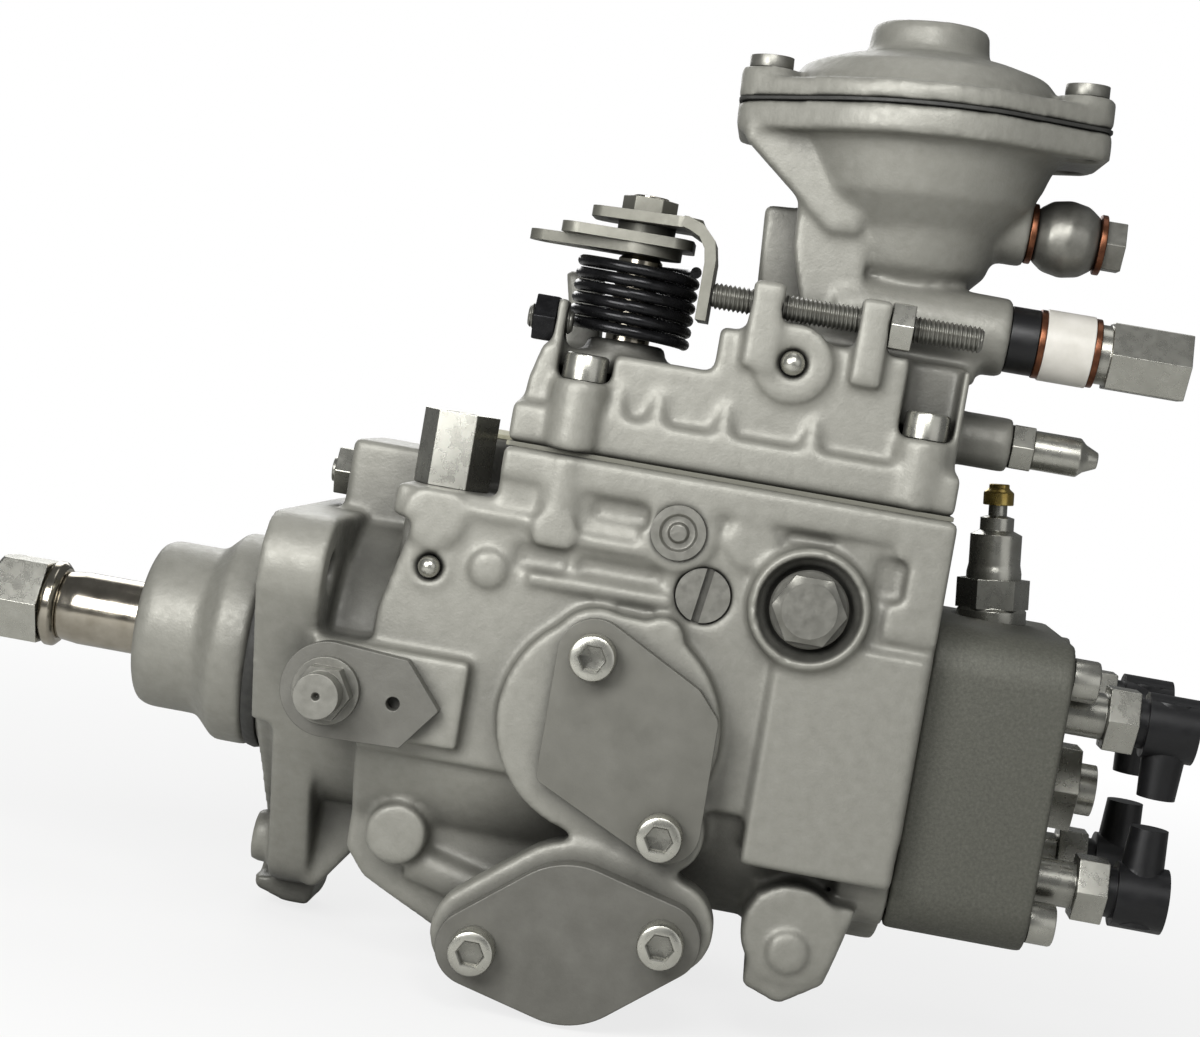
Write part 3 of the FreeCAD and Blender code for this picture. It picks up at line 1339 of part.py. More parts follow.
def timing_piston():
    half = s.piston_length / 2
    body = rod("piston_rod", s.timing_bore_rad - s.running_fit, s.piston_length,
               (s.timing_x, half, -s.timing_drop), "-y")
    hollow = rod("piston_hollow", 9, 16, (s.timing_x, half + 1, -s.timing_drop), "-y")
    hole = rod("piston_pin_hole", 4.6, 16, (s.timing_x, 0, 2 - s.timing_drop))
    return tag(cut("piston_cut", body, hollow, hole), "timing_piston")


def inner_springs():
    """The springs inside the casing, each a solid of its own."""
    springs = []
    for side in (-20, 20):
        springs.append(coil("plunger_spring", 5, 0.9, 139.6 - 97, 4, (96.8, side, 0), "x"))
    for y, z in outlets:
        at = (head_end - 11, s.outlet_offset * y, s.outlet_offset * z)
        springs.append(coil("delivery_spring", 2.45, 0.5, 17, 3, at, "x", 8, 3))
    springs.append(coil("timing_spring", 7, 1.1, 33.5, 3, (s.timing_x, 16.2, -s.timing_drop), "y"))
    springs.append(coil("governor_spring", 5, 0.9, 36, 4, (74.1, -25, 68), "x"))
    boost_spring = coil("boost_spring", 11, 1.2, 13, 2, (0, 0, up(s.boost_seam) - 15.9))
    springs.append(boost_placed(group("boost_spring_leaned", boost_spring)))
    return tag(group("spring_group", *springs), "inner_springs")


def control_shaft():
    top = s.cover_left_top
    outline = [
        (0, 66), (s.lever_shaft_rad, 66), (s.lever_shaft_rad, top + 22), (4, top + 23),
        (4, top + 36.6), (0, top + 36.6),
    ]
    return tag(turned("control_shaft_turned", outline, (s.lever_x, s.lever_y, 0)), "control_shaft")


def control_lever():
    """The ring ended lever with the plate that covers the spring and the hub that carries the stop plate."""
    z = s.cover_left_top + 23.1
    hole = s.lever_shaft_rad * 0.8 + 0.05
    thick = s.lever_thick
    lower = plate("lever_ring_plate", [(-21, 4, 5.2), (0, 0, 9)], thick, (s.lever_x, s.lever_y, z), "z",
                  [(-21, 4, 3), (0, 0, hole)])
    upper = plate("lever_upper_plate", [(-14, -5, 4.5), (7.5, -6, 4), (7, 6, 4.5), (-12.4, 8.6, 4)], thick,
                  (s.lever_x, s.lever_y, z + thick), "z", [(0, 0, hole)])
    hub = plate("lever_hub", [(0, 0, 6.5), (0.2, 0, 6.5)], s.lever_hub,
                (s.lever_x, s.lever_y, z + 2 * thick), "z", [(0, 0, hole)])
    return tag(fuse("control_lever_mass", lower, upper, hub), "control_lever")


def stop_plate():
    """The top plate, bent down to meet the speed screw."""
    thick = s.lever_thick
    z = s.cover_left_top + 23.2 + 2 * thick + s.lever_hub
    flat = plate("stop_flat", [(-8.3, -5, 4), (9, -12, 4), (9, 4, 4), (-8.3, 5, 4)], thick,
                 (s.lever_x, s.lever_y, z), "z", [(0, 0, s.lever_shaft_rad * 0.8 + 0.05)])
    out = s.lever_x + s.stop_reach
    bend = prism("stop_bend", [(out - 6, z), (out - 4.5, z - 0.4), (out - 2, z - 1.6), (out - 0.5, z - 4), (out, z - 7),
                               (out, z - 19.5), (out + thick, z - 19.5), (out + thick, z - 6), (out + 1.6, z - 2),
                               (out - 1.5, z + 1.2), (out - 5, z + thick), (out - 6, z + thick)],
                 22, (0, s.lever_y + 3, 0), "-y")
    return tag(fuse("stop_plate_mass", flat, bend), "stop_plate")


def lever_nut():
    z = s.cover_left_top + 23.3 + 3 * s.lever_thick + s.lever_hub
    nut = hexagon("lever_nut_hex", 11, 3.6, (s.lever_x, s.lever_y, z))
    bore = rod("lever_nut_bore", s.lever_shaft_rad * 0.8 + 0.03, 6, (s.lever_x, s.lever_y, z - 1))
    return tag(cut("lever_nut_cut", nut, bore), "lever_nut")


def lever_spring():
    base = s.cover_left_top + 3.6
    spring = coil("lever_spring_coil", s.lever_spring_rad, s.lever_wire_rad, 19.2, 6,
                  (s.lever_x, s.lever_y, base), "z", 12, 6)
    return tag(spring, "lever_spring")


def adjuster(name, length, at, facing="x", tip=0):
    """A headless adjusting screw with a chamfered end."""
    rad = s.adjuster_rad
    outline = [(0, 0), (rad - 0.7, 0), (rad, 0.7), (rad, length - 0.7 - tip)]
    if tip:
        outline += [(rad * 0.5, length), (0, length)]
    else:
        outline += [(rad - 0.7, length), (0, length)]
    return turned(name, outline, at, facing)


def speed_screw():
    start = s.lever_x + s.stop_reach + s.lever_thick + s.seat_gap
    screw = adjuster("speed_screw_turned", 60, (start, s.speed_screw_y, s.speed_screw_z))
    return tag(screw, "speed_screw")


def idle_screw():
    return tag(adjuster("idle_screw_turned", 10, (idle_seat - 6.5, idle_y, idle_z)), "idle_screw")


def full_load_screw():
    return tag(adjuster("full_load_turned", 44, (130, s.full_load_y, s.full_load_z)), "full_load_screw")


def full_load_sleeve():
    """The plain cap crimped on the end of the full load screw."""
    start = 159 + s.adjuster_nut_height
    outline = [
        (s.adjuster_rad + 0.05, start), (4.5, start), (4.5, start + 10.6), (3.2, start + 12),
        (1.8, start + 15), (0, start + 15), (0, start + 10.2), (s.adjuster_rad + 0.05, start + 10.2),
    ]
    return tag(turned("full_load_sleeve_turned", outline, (0, s.full_load_y, s.full_load_z), "x"),
               "full_load_sleeve")


def adjuster_locknuts():
    nuts = []
    for at in ((159, s.full_load_y, s.full_load_z), (126.3, s.speed_screw_y, s.speed_screw_z),
               (idle_seat - s.adjuster_nut_height, idle_y, idle_z)):
        nut = hexagon("locknut_hex", s.adjuster_across, s.adjuster_nut_height, at, "x")
        nuts.append(cut("locknut", nut, rod("locknut_bore", s.adjuster_rad + 0.05, 8,
                                            (at[0] - 1,) + at[1:], "x")))
    return tag(group("locknut_group", *nuts), "adjuster_locknuts")


def return_fitting():
    at = (s.return_y, s.return_z)
    parts = [
        rod("return_thread", 6, 36, (return_start - 12,) + at, "x"),
        hexagon("return_hex", 15, 18, (return_start + 23,) + at, "x"),
        rod("return_shoulder", 6.8, 3.5, (return_start + 20.5,) + at, "x"),
    ]
    bore = rod("return_bore", 3, 26, (return_start + 16,) + at, "x")
    return tag(cut("return_cut", fuse("return_mass", *parts), bore), "return_fitting")


def ring_about(name, rad, bore, start, length, at):
    """A plain ring on an X axis."""
    outline = [(bore, start), (rad, start), (rad, start + length), (bore, start + length)]
    return turned(name, outline, (0,) + at, "x")


def return_collar():
    at = (s.return_y, s.return_z)
    return tag(ring_about("return_collar_ring", 7.6, 6.05, return_start, 6.5, at), "return_collar")


def return_insulator():
    at = (s.return_y, s.return_z)
    return tag(ring_about("return_insulator_ring", 8.2, 6.05, return_start + 8, 11, at), "return_insulator")


def sealing_washers():
    at = (s.return_y, s.return_z)
    banjo_at = (0, banjo_z)
    rings = [
        ring_about("return_washer", 7.9, 6.05, return_start + 6.5, 1.5, at),
        ring_about("return_washer", 7.9, 6.05, return_start + 19, 1.5, at),
        ring_about("banjo_washer", 7, 4.05, banjo_start - 1.5, 1.5, banjo_at),
        ring_about("banjo_washer", 7, 4.05, banjo_start + 14.5, 1.5, banjo_at),
    ]
    return tag(group("washer_group", *rings), "sealing_washers")


def boost_banjo():
    outline = [(0, 0), (6, 0), (8.2, 3), (9, 7.3), (8.2, 11.5), (6, 14.5), (0, 14.5)]
    eye = turned("banjo_eye", outline, (banjo_start, 0, banjo_z), "x")
    spigot = rod("banjo_spigot", 2.6, 13, (banjo_start + 7.2, 7, banjo_z + 4.3), "y")
    bore = rod("banjo_bolt_bore", 4.1, 20, (banjo_start - 2, 0, banjo_z), "x")
    return tag(cut("banjo_cut", fuse("banjo_mass", eye, spigot), bore), "boost_banjo")


def banjo_bolt():
    parts = [
        rod("banjo_stem", 4, 26.5, (banjo_start - 10, 0, banjo_z), "x"),
        hexagon("banjo_hex", 11, 4.5, (banjo_start + 16, 0, banjo_z), "x"),
    ]
    return tag(fuse("banjo_bolt_mass", *parts), "banjo_bolt")


def inlet_fitting():
    top = s.shelf_top
    parts = [
        rod("inlet_thread", 6, 12, (35.5, -25, top - 12)),
        hexagon("inlet_hex", 15, 17, (35.5, -25, top)),
    ]
    bore = rod("inlet_hole", 4, 20, (35.5, -25, top - 2))
    return tag(cut("inlet_cut", fuse("inlet_mass", *parts), bore), "inlet_fitting")


SUBPARTS = [
    pump_housing, governor_cover, cover_gasket, cover_bolts, boost_diaphragm, boost_lid,
    boost_lid_screws, boost_piston, hydraulic_head, head_bolts, head_center_plug, delivery_holders,
    outlet_caps, shutoff_solenoid, terminal_nut, solenoid_plunger, side_cover, cover_screws,
    timing_covers, support_plate, support_bolt, side_hex_plug, press_plugs, rubber_seals,
    feed_pump_ring, feed_pump_rotor, drive_shaft, shaft_nut, shaft_lock_ring, drive_gear,
    governor_cage, governor_axle, governor_sleeve, governor_lever, spill_collar, roller_ring,
    cam_plate, timing_piston, inner_springs, control_shaft, control_lever, stop_plate,
    lever_nut, lever_spring, speed_screw, idle_screw, full_load_screw, full_load_sleeve,
    adjuster_locknuts, return_fitting, return_collar, return_insulator, sealing_washers,
    boost_banjo, banjo_bolt, inlet_fitting,
]


def main():
    nodes = [make() for make in SUBPARTS]
    for number, (y, z) in enumerate(outlets, start=1):
        nodes.append(delivery_valve(number, y, z))
    doc.recompute()
    for item in doc.Objects:
        if "Invalid" in item.State or "Error" in item.State:
            raise RuntimeError(f"{item.Name} failed: {item.State}")
    for node in nodes:
        if node.Shape.isNull() or not node.Shape.isValid():
            raise RuntimeError(f"{node.Label} has no sound shape")
    os.makedirs("parts", exist_ok=True)
    for node in nodes:
        node.Shape.exportStep(f"parts/{node.Label}.step")
    print(len(nodes), "sub-parts")


main()
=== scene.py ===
"""A distributor type diesel injection pump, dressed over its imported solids.

Castings get soft cast edges and a blasted grain, hardware gets chamfers, threads and its own plating.
"""
import json
import math

import bmesh
import bpy
from bpy.props import FloatProperty, FloatVectorProperty, IntProperty, PointerProperty
from mathutils import Matrix, Vector


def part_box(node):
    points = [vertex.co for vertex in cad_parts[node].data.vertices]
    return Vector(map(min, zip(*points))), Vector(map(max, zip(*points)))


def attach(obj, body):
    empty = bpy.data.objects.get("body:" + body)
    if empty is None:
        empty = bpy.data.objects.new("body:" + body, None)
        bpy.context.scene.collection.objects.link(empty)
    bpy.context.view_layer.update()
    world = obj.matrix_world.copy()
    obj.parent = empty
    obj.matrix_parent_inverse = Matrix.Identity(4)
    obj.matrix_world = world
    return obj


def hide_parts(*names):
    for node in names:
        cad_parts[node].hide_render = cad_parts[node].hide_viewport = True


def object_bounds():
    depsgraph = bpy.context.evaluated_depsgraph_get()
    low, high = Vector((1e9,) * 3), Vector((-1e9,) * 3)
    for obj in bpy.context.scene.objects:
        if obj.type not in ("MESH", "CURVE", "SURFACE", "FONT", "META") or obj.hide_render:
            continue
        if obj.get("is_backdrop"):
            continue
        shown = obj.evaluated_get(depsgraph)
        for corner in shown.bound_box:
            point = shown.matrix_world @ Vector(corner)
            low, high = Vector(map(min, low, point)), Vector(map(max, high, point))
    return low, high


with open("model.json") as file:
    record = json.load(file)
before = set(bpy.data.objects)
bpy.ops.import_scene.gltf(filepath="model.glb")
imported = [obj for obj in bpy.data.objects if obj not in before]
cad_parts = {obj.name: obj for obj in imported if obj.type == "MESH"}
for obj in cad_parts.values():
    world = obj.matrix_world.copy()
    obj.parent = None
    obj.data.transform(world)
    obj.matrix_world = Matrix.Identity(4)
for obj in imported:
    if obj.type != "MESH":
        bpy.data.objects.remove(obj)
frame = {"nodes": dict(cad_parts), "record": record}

bl_info = {
    "name": "Diesel injection pump",
    "version": (1, 0, 0),
    "blender": (4, 5, 0),
    "location": "View3D > Sidebar > Injection pump",
    "description": "Dresses the packed solids of a distributor type injection pump",
    "category": "Object",
}

MM = 0.001
FULL_TURN = 2 * math.pi
# Vertices of a CAD copy that lie closer than this are one vertex, in metres.
MERGE_REACH = 2e-6
# How far round a point the painted shade in recesses looks for walls, in metres, and the open shares between which it
# fades.
PAINTED_SHADE_REACH = 0.018
PAINTED_SHADE_FADE = (0.25, 0.9)
# The gasket's bare front tab ends at the first X and the gasket is grey from the second on, in metres.
TAB_EDGE = (0.046, 0.049)
# A carved casting gets a first skin this much finer than its last one, and no casting has more triangles than this.
FIRST_SKIN_SHARE = 0.8
CAST_TRIANGLES = 190000
# Socket head screws: head height, socket radius across flats and socket depth, in millimetres.
HEAD_HEIGHT, SOCKET_RADIUS, SOCKET_DEPTH = 6.0, 2.5, 3.0
# Each lamp's name, place and side in metres, and power in watts.
LAMPS = (
    ("key", (-0.1, -0.36, 0.17), 0.2, 1.5),
    ("high", (0.12, -0.32, 0.27), 0.14, 0.7),
    ("fill", (0.75, -0.7, 0.25), 0.7, 1),
    ("top", (0.1, 0.1, 1.1), 0.6, 1.5),
    ("rim", (-0.2, 0.8, 0.5), 0.6, 4),
)
LAMP_AIM = (0.075, 0, 0.045)
# The camera that fits the photograph: azimuth, elevation and roll in degrees, distance and target in metres,
# focal length and width in the picture's pixels.
CAMERA_TURNS = (3.72, 3.08, 9.8)
CAMERA_DISTANCE = 0.576
CAMERA_TARGET = (0.0685, 0, 0.0428)
FOCAL_PX, PICTURE_PX, SENSOR_MM = 2440, 1200, 36
BODY_OF = {node: body for body, nodes in frame["record"]["behaviour"]["bodies"].items() for node in nodes}
SLOT_OF = {row["node"]: row["material_slot"] for row in frame["record"]["subparts"]}


# Colours and materials

def linear(code):
    """An sRGB hex colour as the linear four values that a shader takes."""
    parts = [int(code[i:i + 2], 16) / 255 for i in (0, 2, 4)]
    return [c / 12.92 if c <= 0.04045 else ((c + 0.055) / 1.055) ** 2.4 for c in parts] + [1.0]


def add(tree, kind, settings=None, **inputs):
    """A node with its settings; an input is a value or another node's output, and i3 names input 3."""
    node = tree.nodes.new(kind)
    for key, value in (settings or {}).items():
        setattr(node, key, value)
    for key, value in inputs.items():
        numbered = key[0] == "i" and key[1:].isdigit()
        socket = node.inputs[int(key[1:]) if numbered else key.replace("_", " ")]
        if isinstance(value, bpy.types.NodeSocket):
            tree.links.new(value, socket)
        else:
            socket.default_value = value
    return node


def grain(tree, place, size_mm, detail=3.0, rough=0.55):
    """Noise whose lumps are about this many millimetres across, on object coordinates."""
    node = add(tree, "ShaderNodeTexNoise", Vector=place, Scale=1 / (size_mm * MM), Detail=detail, Roughness=rough)
    return node.outputs["Fac"]


def ramp(tree, fac, stops):
    """A colour ramp through these (place, hex colour) stops."""
    node = add(tree, "ShaderNodeValToRGB", Fac=fac)
    band = node.color_ramp
    while len(band.elements) < len(stops):
        band.elements.new(1.0)
    for element, (place, code) in zip(band.elements, stops):
        element.position = place
        element.color = linear(code)
    return node.outputs["Color"]


def span(tree, fac, low, high, start=0.3, end=0.7):
    """Maps a value that runs from start to end onto the range from low to high, and holds it there."""
    node = add(tree, "ShaderNodeMapRange", Value=fac)
    for name, value in zip(("From Min", "From Max", "To Min", "To Max"), (start, end, low, high)):
        node.inputs[name].default_value = value
    return node.outputs["Result"]


def surface(name, stops, mottle_mm, rough, metallic, bumps=(), recess_shade=0.0):
    """A material: mottled colour, varied roughness, layered bumps as (size mm, height mm), painted shade in recesses.
    """
    mat = bpy.data.materials.new(name)
    mat.use_nodes = True
    tree = mat.node_tree
    shader = tree.nodes["Principled BSDF"]
    place = add(tree, "ShaderNodeTexCoord").outputs["Object"]
    shader.inputs["Metallic"].default_value = metallic
    tint = grain(tree, place, mottle_mm, 4.0, 0.6)
    colour = ramp(tree, tint, stops)
    # Painted shade: the base colour darkens where walls close in round a point, in recesses, crevices and gaps
    # between parts.
    if recess_shade:
        open_share = add(tree, "ShaderNodeAmbientOcclusion", {"samples": 8}, Distance=PAINTED_SHADE_REACH).outputs["AO"]
        kept = span(tree, open_share, 1 - recess_shade, 1.0, *PAINTED_SHADE_FADE)
        colour = add(tree, "ShaderNodeVectorMath", {"operation": "SCALE"}, i0=colour, Scale=kept).outputs["Vector"]
    tree.links.new(colour, shader.inputs["Base Color"])
    tree.links.new(span(tree, grain(tree, place, mottle_mm * 0.6), rough[0], rough[1]), shader.inputs["Roughness"])
    normal = None
    for size, height in bumps:
        layer = add(tree, "ShaderNodeBump", Distance=height * MM, Height=grain(tree, place, size))
        layer.inputs["Strength"].default_value = 1.0
        if normal:
            tree.links.new(normal, layer.inputs["Normal"])
        normal = layer.outputs["Normal"]
    if normal:
        tree.links.new(normal, shader.inputs["Normal"])
    return mat


def blasted_cast_aluminium(name, dark, base, light):
    """Die cast aluminium, glass bead blasted: dull, faintly mottled, with a fine dimpled grain and painted shade in
    its recesses.
    """
    return surface(name, ((0.25, dark), (0.5, base), (0.78, light)), 3, (0.42, 0.54), 0.3,
                   ((2.2, 0.07), (0.6, 0.05)), 0.75)


def grey_past_front_tab(mat):
    """Turns the gasket grey beyond its front tab; only the bare tab stays pale."""
    tree = mat.node_tree
    shader = tree.nodes["Principled BSDF"]
    pale = shader.inputs["Base Color"].links[0].from_socket
    place = add(tree, "ShaderNodeTexCoord").outputs["Object"]
    along = add(tree, "ShaderNodeSeparateXYZ", Vector=place).outputs["X"]
    share = span(tree, along, 0.0, 1.0, *TAB_EDGE)
    mix = add(tree, "ShaderNodeMix", {"data_type": "RGBA"}, i0=share, i6=pale, i7=linear("6b6a60"))
    tree.links.new(mix.outputs[2], shader.inputs["Base Color"])


def make_materials():
    """One material per slot of the record."""
    made = {
        # Where a surface has a last number, that share of painted shade darkens its recesses.
        # Casing and cover, both blasted; the cover is the lighter one.
        "cast_housing": blasted_cast_aluminium("cast_aluminium_housing_blasted", "84837b", "8a8981", "908f87"),
        "cast_cover": blasted_cast_aluminium("cast_aluminium_cover_blasted", "86857d", "8c8b83", "929189"),
        # The side cover's milled face: darker and smoother than the blasted skin round it.
        "machined_cast": surface("cast_aluminium_cover_milled", ((0.3, "6f6e67"), (0.6, "75746d"), (0.8, "7b7a73")),
                                 9, (0.38, 0.5), 0.5, ((0.5, 0.02),), 0.45),
        # Phosphated steel: dark, dry, with a coarse even grain.
        "head_steel": surface("phosphated_steel_head", ((0.3, "51514a"), (0.55, "5b5b53"), (0.8, "66665e")),
                              0.7, (0.5, 0.66), 0.4, ((0.6, 0.06), (0.3, 0.04))),
        # Bright zinc plate on turned and pressed steel: light, slightly warm, soft gloss.
        "zinc_steel": surface("zinc_plated_steel", ((0.3, "b3b2a9"), (0.6, "bdbcb3"), (0.8, "c6c5bd")),
                              4, (0.24, 0.32), 0.92, ((0.6, 0.004),), 0.5),
        # Ground and polished steel: a mirror-like band with faint cloudiness.
        "polished_steel": surface("ground_steel_polished", ((0.3, "9b9486"), (0.7, "b5afa2")),
                                  6, (0.12, 0.22), 1.0),
        # Hardened steel that runs in oil: dark, with a soft sheen.
        "dark_steel": surface("hardened_steel_oiled", ((0.3, "4e4b46"), (0.7, "66635c")), 3, (0.3, 0.45), 0.85),
        # Pressed lever plates with a thin phosphate coat: grey, half dull.
        "lever_steel": surface("pressed_steel_phosphated", ((0.3, "74736a"), (0.6, "7c7b72"), (0.8, "85847b")),
                               4, (0.38, 0.52), 0.6, ((1.2, 0.03),), 0.5),
        # Annealed copper, tarnished where it was heated.
        "copper": surface("annealed_copper_washer", ((0.3, "5c3a2c"), (0.7, "86583f")), 2, (0.3, 0.42), 0.95),
        # Turned brass, a little dulled.
        "brass": surface("turned_brass", ((0.3, "a8904e"), (0.7, "c6b06a")), 3, (0.22, 0.34), 0.95),
        # Moulded nitrile rubber: dark grey and dry.
        "black_rubber": surface("moulded_nitrile_rubber", ((0.3, "2b2b29"), (0.7, "373734")), 2, (0.55, 0.7), 0.0),
        # Moulded polyethylene transport caps: black with a waxy gloss.
        "black_cap": surface("moulded_polyethylene_black", ((0.3, "0b0b0c"), (0.7, "121214")),
                             4, (0.34, 0.46), 0.0),
        # Blackened spring steel, oiled.
        "black_steel": surface("spring_steel_blackened", ((0.3, "121213"), (0.7, "222224")),
                               3, (0.2, 0.32), 0.6),
        # Natural nylon, moulded: off-white with a soft gloss.
        "white_plastic": surface("moulded_nylon_natural", ((0.3, "c6c3ba"), (0.7, "d3d0c8")), 5, (0.3, 0.4), 0.0),
        # Phosphated and oiled steel: grey, dry, close to the casting's own tone.
        "dull_steel": surface("phosphated_steel_oiled", ((0.3, "7f7e77"), (0.6, "8a8982"), (0.8, "95948d")),
                              3, (0.34, 0.46), 0.75, ((0.8, 0.02),), 0.6),
        # Pressure cast plate left as cast, darker than the blasted casing.
        "cast_plate": surface("pressure_cast_aluminium_plate", ((0.3, "62615b"), (0.55, "696862"), (0.8, "706f69")),
                              6, (0.42, 0.54), 0.4, ((1.8, 0.05), (0.6, 0.03))),
        # Pressed gasket paper: pale and quite dull.
        "paper": surface("gasket_paper", ((0.3, "aaa78c"), (0.7, "cbc8b0")), 2, (0.7, 0.85), 0.0),
    }
    grey_past_front_tab(made["paper"])
    return made


MATERIALS = {}


# Mesh helpers

def as_object(name, mesh):
    """Puts a mesh in the scene at the origin under a plain name."""
    item = bpy.data.objects.new(name, mesh)
    bpy.context.scene.collection.objects.link(item)
    return item


def merged_copy(node):
    """A copy of a CAD node's loose triangles with their common corners merged."""
    source = frame["nodes"][node].data
    bm = bmesh.new()
    bm.from_mesh(source)
    bmesh.ops.remove_doubles(bm, verts=bm.verts, dist=MERGE_REACH)
    mesh = bpy.data.meshes.new(node + "_copy")
    bm.to_mesh(mesh)
    bm.free()
    return mesh


def flat_faces(mesh, angle=0.6):
    """Joins triangles that lie in one plane, so that a bevel meets clean edges."""
    bm = bmesh.new()
    bm.from_mesh(mesh)
    bmesh.ops.dissolve_limit(bm, angle_limit=math.radians(angle), verts=bm.verts, edges=bm.edges)
    bm.to_mesh(mesh)
    bm.free()


def baked(item):
    """The object's evaluated mesh replaces its own, and its modifiers go."""
    graph = bpy.context.evaluated_depsgraph_get()
    graph.update()
    mesh = bpy.data.meshes.new_from_object(item.evaluated_get(graph))
    item.modifiers.clear()
    item.data = mesh
    return item


def shade(mesh, sharp):
    """Smooth shading, with edges kept where faces meet at more than this many degrees."""
    mesh.polygons.foreach_set("use_smooth", [True] * len(mesh.polygons))
    mesh.set_sharp_from_angle(angle=math.radians(sharp))


def dress(item, slot, body, *nodes):
    """Gives a finished piece the material of its slot and its body, and hides the nodes it stands for."""
    item.data.materials.clear()
    item.data.materials.append(MATERIALS[slot])
    if nodes:
        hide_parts(*nodes)
    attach(item, body)
    return item


def patches(bm):
    """The vertices of each separate solid of a mesh."""
    found = []
    left = set(bm.verts)
    while left:
        patch = {left.pop()}
        edge = list(patch)
        while edge:
            near = {e.other_vert(v) for v in edge for e in v.link_edges} - patch
            patch |= near
            edge = list(near)
        left -= patch
        found.append(list(patch))
    return found


def keep_parts(mesh, wanted):
    """Keeps the separate solids of a mesh whose middle, in millimetres, passes a test."""
    bm = bmesh.new()
    bm.from_mesh(mesh)
    for patch in patches(bm):
        middle = sum((v.co for v in patch), Vector()) / len(patch) / MM
        if not wanted(middle):
            bmesh.ops.delete(bm, geom=patch, context="VERTS")
    bm.to_mesh(mesh)
    bm.free()


def corners(patch):
    """The two corners of the box round some vertices, in millimetres."""
    return [Vector([pick(v.co[i] for v in patch) for i in range(3)]) / MM for pick in (min, max)]


def middle_of(low, high):
    """The middle of a node's box, in millimetres."""
    return [(a + b) / 2 / MM for a, b in zip(low, high)]


def end_radius(patch, middle, along, end):
    """How wide a solid is at one end of its axis, as a radius in millimetres."""
    across = (along + 1) % 3
    return max(abs(v.co[across] / MM - middle[across]) for v in patch if abs(v.co[along] / MM - end) < 0.3)


def cap_screw(patch):
    """A socket head screw with a chamfered head, in place of one solid whose head end is the wider one."""
    low, high = corners(patch)
    size = high - low
    middle = (low + high) / 2
    along = max(range(3), key=lambda i: size[i])
    foot_radius, tip_radius = (end_radius(patch, middle, along, end[along]) for end in (low, high))
    up = tip_radius > foot_radius
    radius = size[(along + 1) % 3] / 2
    shank = min(foot_radius, tip_radius) + 0.4
    foot = middle.copy()
    foot[along] = low[along] if up else high[along]
    facing = [0, 0, 0]
    facing[along] = 1 if up else -1
    top = size[along]
    seat = top - HEAD_HEIGHT
    outline = [
        (0, 0), (shank - 0.5, 0), (shank, 0.5), (shank, seat), (radius - 0.2, seat), (radius, seat + 0.2),
        (radius, top - 0.8), (radius - 0.25, top - 0.25), (radius - 0.8, top),
        (SOCKET_RADIUS + 0.3, top, 6), (SOCKET_RADIUS, top - 0.3, 6), (SOCKET_RADIUS, top - SOCKET_DEPTH, 6),
        (0, top - SOCKET_DEPTH - 0.4),
    ]
    return lathe(outline, foot, facing, 48)


def cap_screws(node):
    """Socket head screws in place of a node's solids."""
    bm = bmesh.new()
    bm.from_mesh(merged_copy(node))
    screws = [cap_screw(patch) for patch in patches(bm)]
    bm.free()
    item = joined(node + "_piece", screws)
    shade(item.data, 28)
    return dress(item, SLOT_OF[node], BODY_OF[node], node)


def chamfered(node, width_mm, segments=2, slot=None, wanted=None, suffix="_piece", flat=True):
    """A copy of a node, or of some of its solids, with its sharp edges broken."""
    mesh = merged_copy(node)
    if wanted:
        keep_parts(mesh, wanted)
    if flat:
        flat_faces(mesh)
    item = as_object(node + suffix, mesh)
    bevel = item.modifiers.new("edge_break", "BEVEL")
    bevel.width = width_mm * MM
    bevel.segments = segments
    bevel.limit_method = "ANGLE"
    bevel.angle_limit = math.radians(38)
    bevel.use_clamp_overlap = True
    baked(item)
    shade(item.data, 40)
    level = item.modifiers.new("level_normals", "WEIGHTED_NORMAL")
    level.keep_sharp = True
    baked(item)
    return dress(item, slot or SLOT_OF[node], BODY_OF[node], node)


def split(node, width_mm, chosen, slot, other_slot):
    """Dresses some solids of a group in one material and the rest in another."""
    chamfered(node, width_mm, 2, slot, chosen, "_chosen")
    chamfered(node, width_mm, 2, other_slot, lambda middle: not chosen(middle), "_rest", False)


def sunk_heads(node, width_mm):
    """Screws on the leaning boost unit, their heads half sunk in the lid's lugs."""
    item = chamfered(node, width_mm)
    lean = next(Vector(row["axis"]) for row in frame["record"]["behaviour"]["joints"] if row["name"] == "boost_slide")
    heights = [v.co.dot(lean) for v in item.data.vertices]
    seat = max(heights) - HEAD_HEIGHT * MM
    sunk_share = 0.55
    for vert, height in zip(item.data.vertices, heights):
        if height > seat:
            vert.co -= lean * (height - seat) * sunk_share
    return item


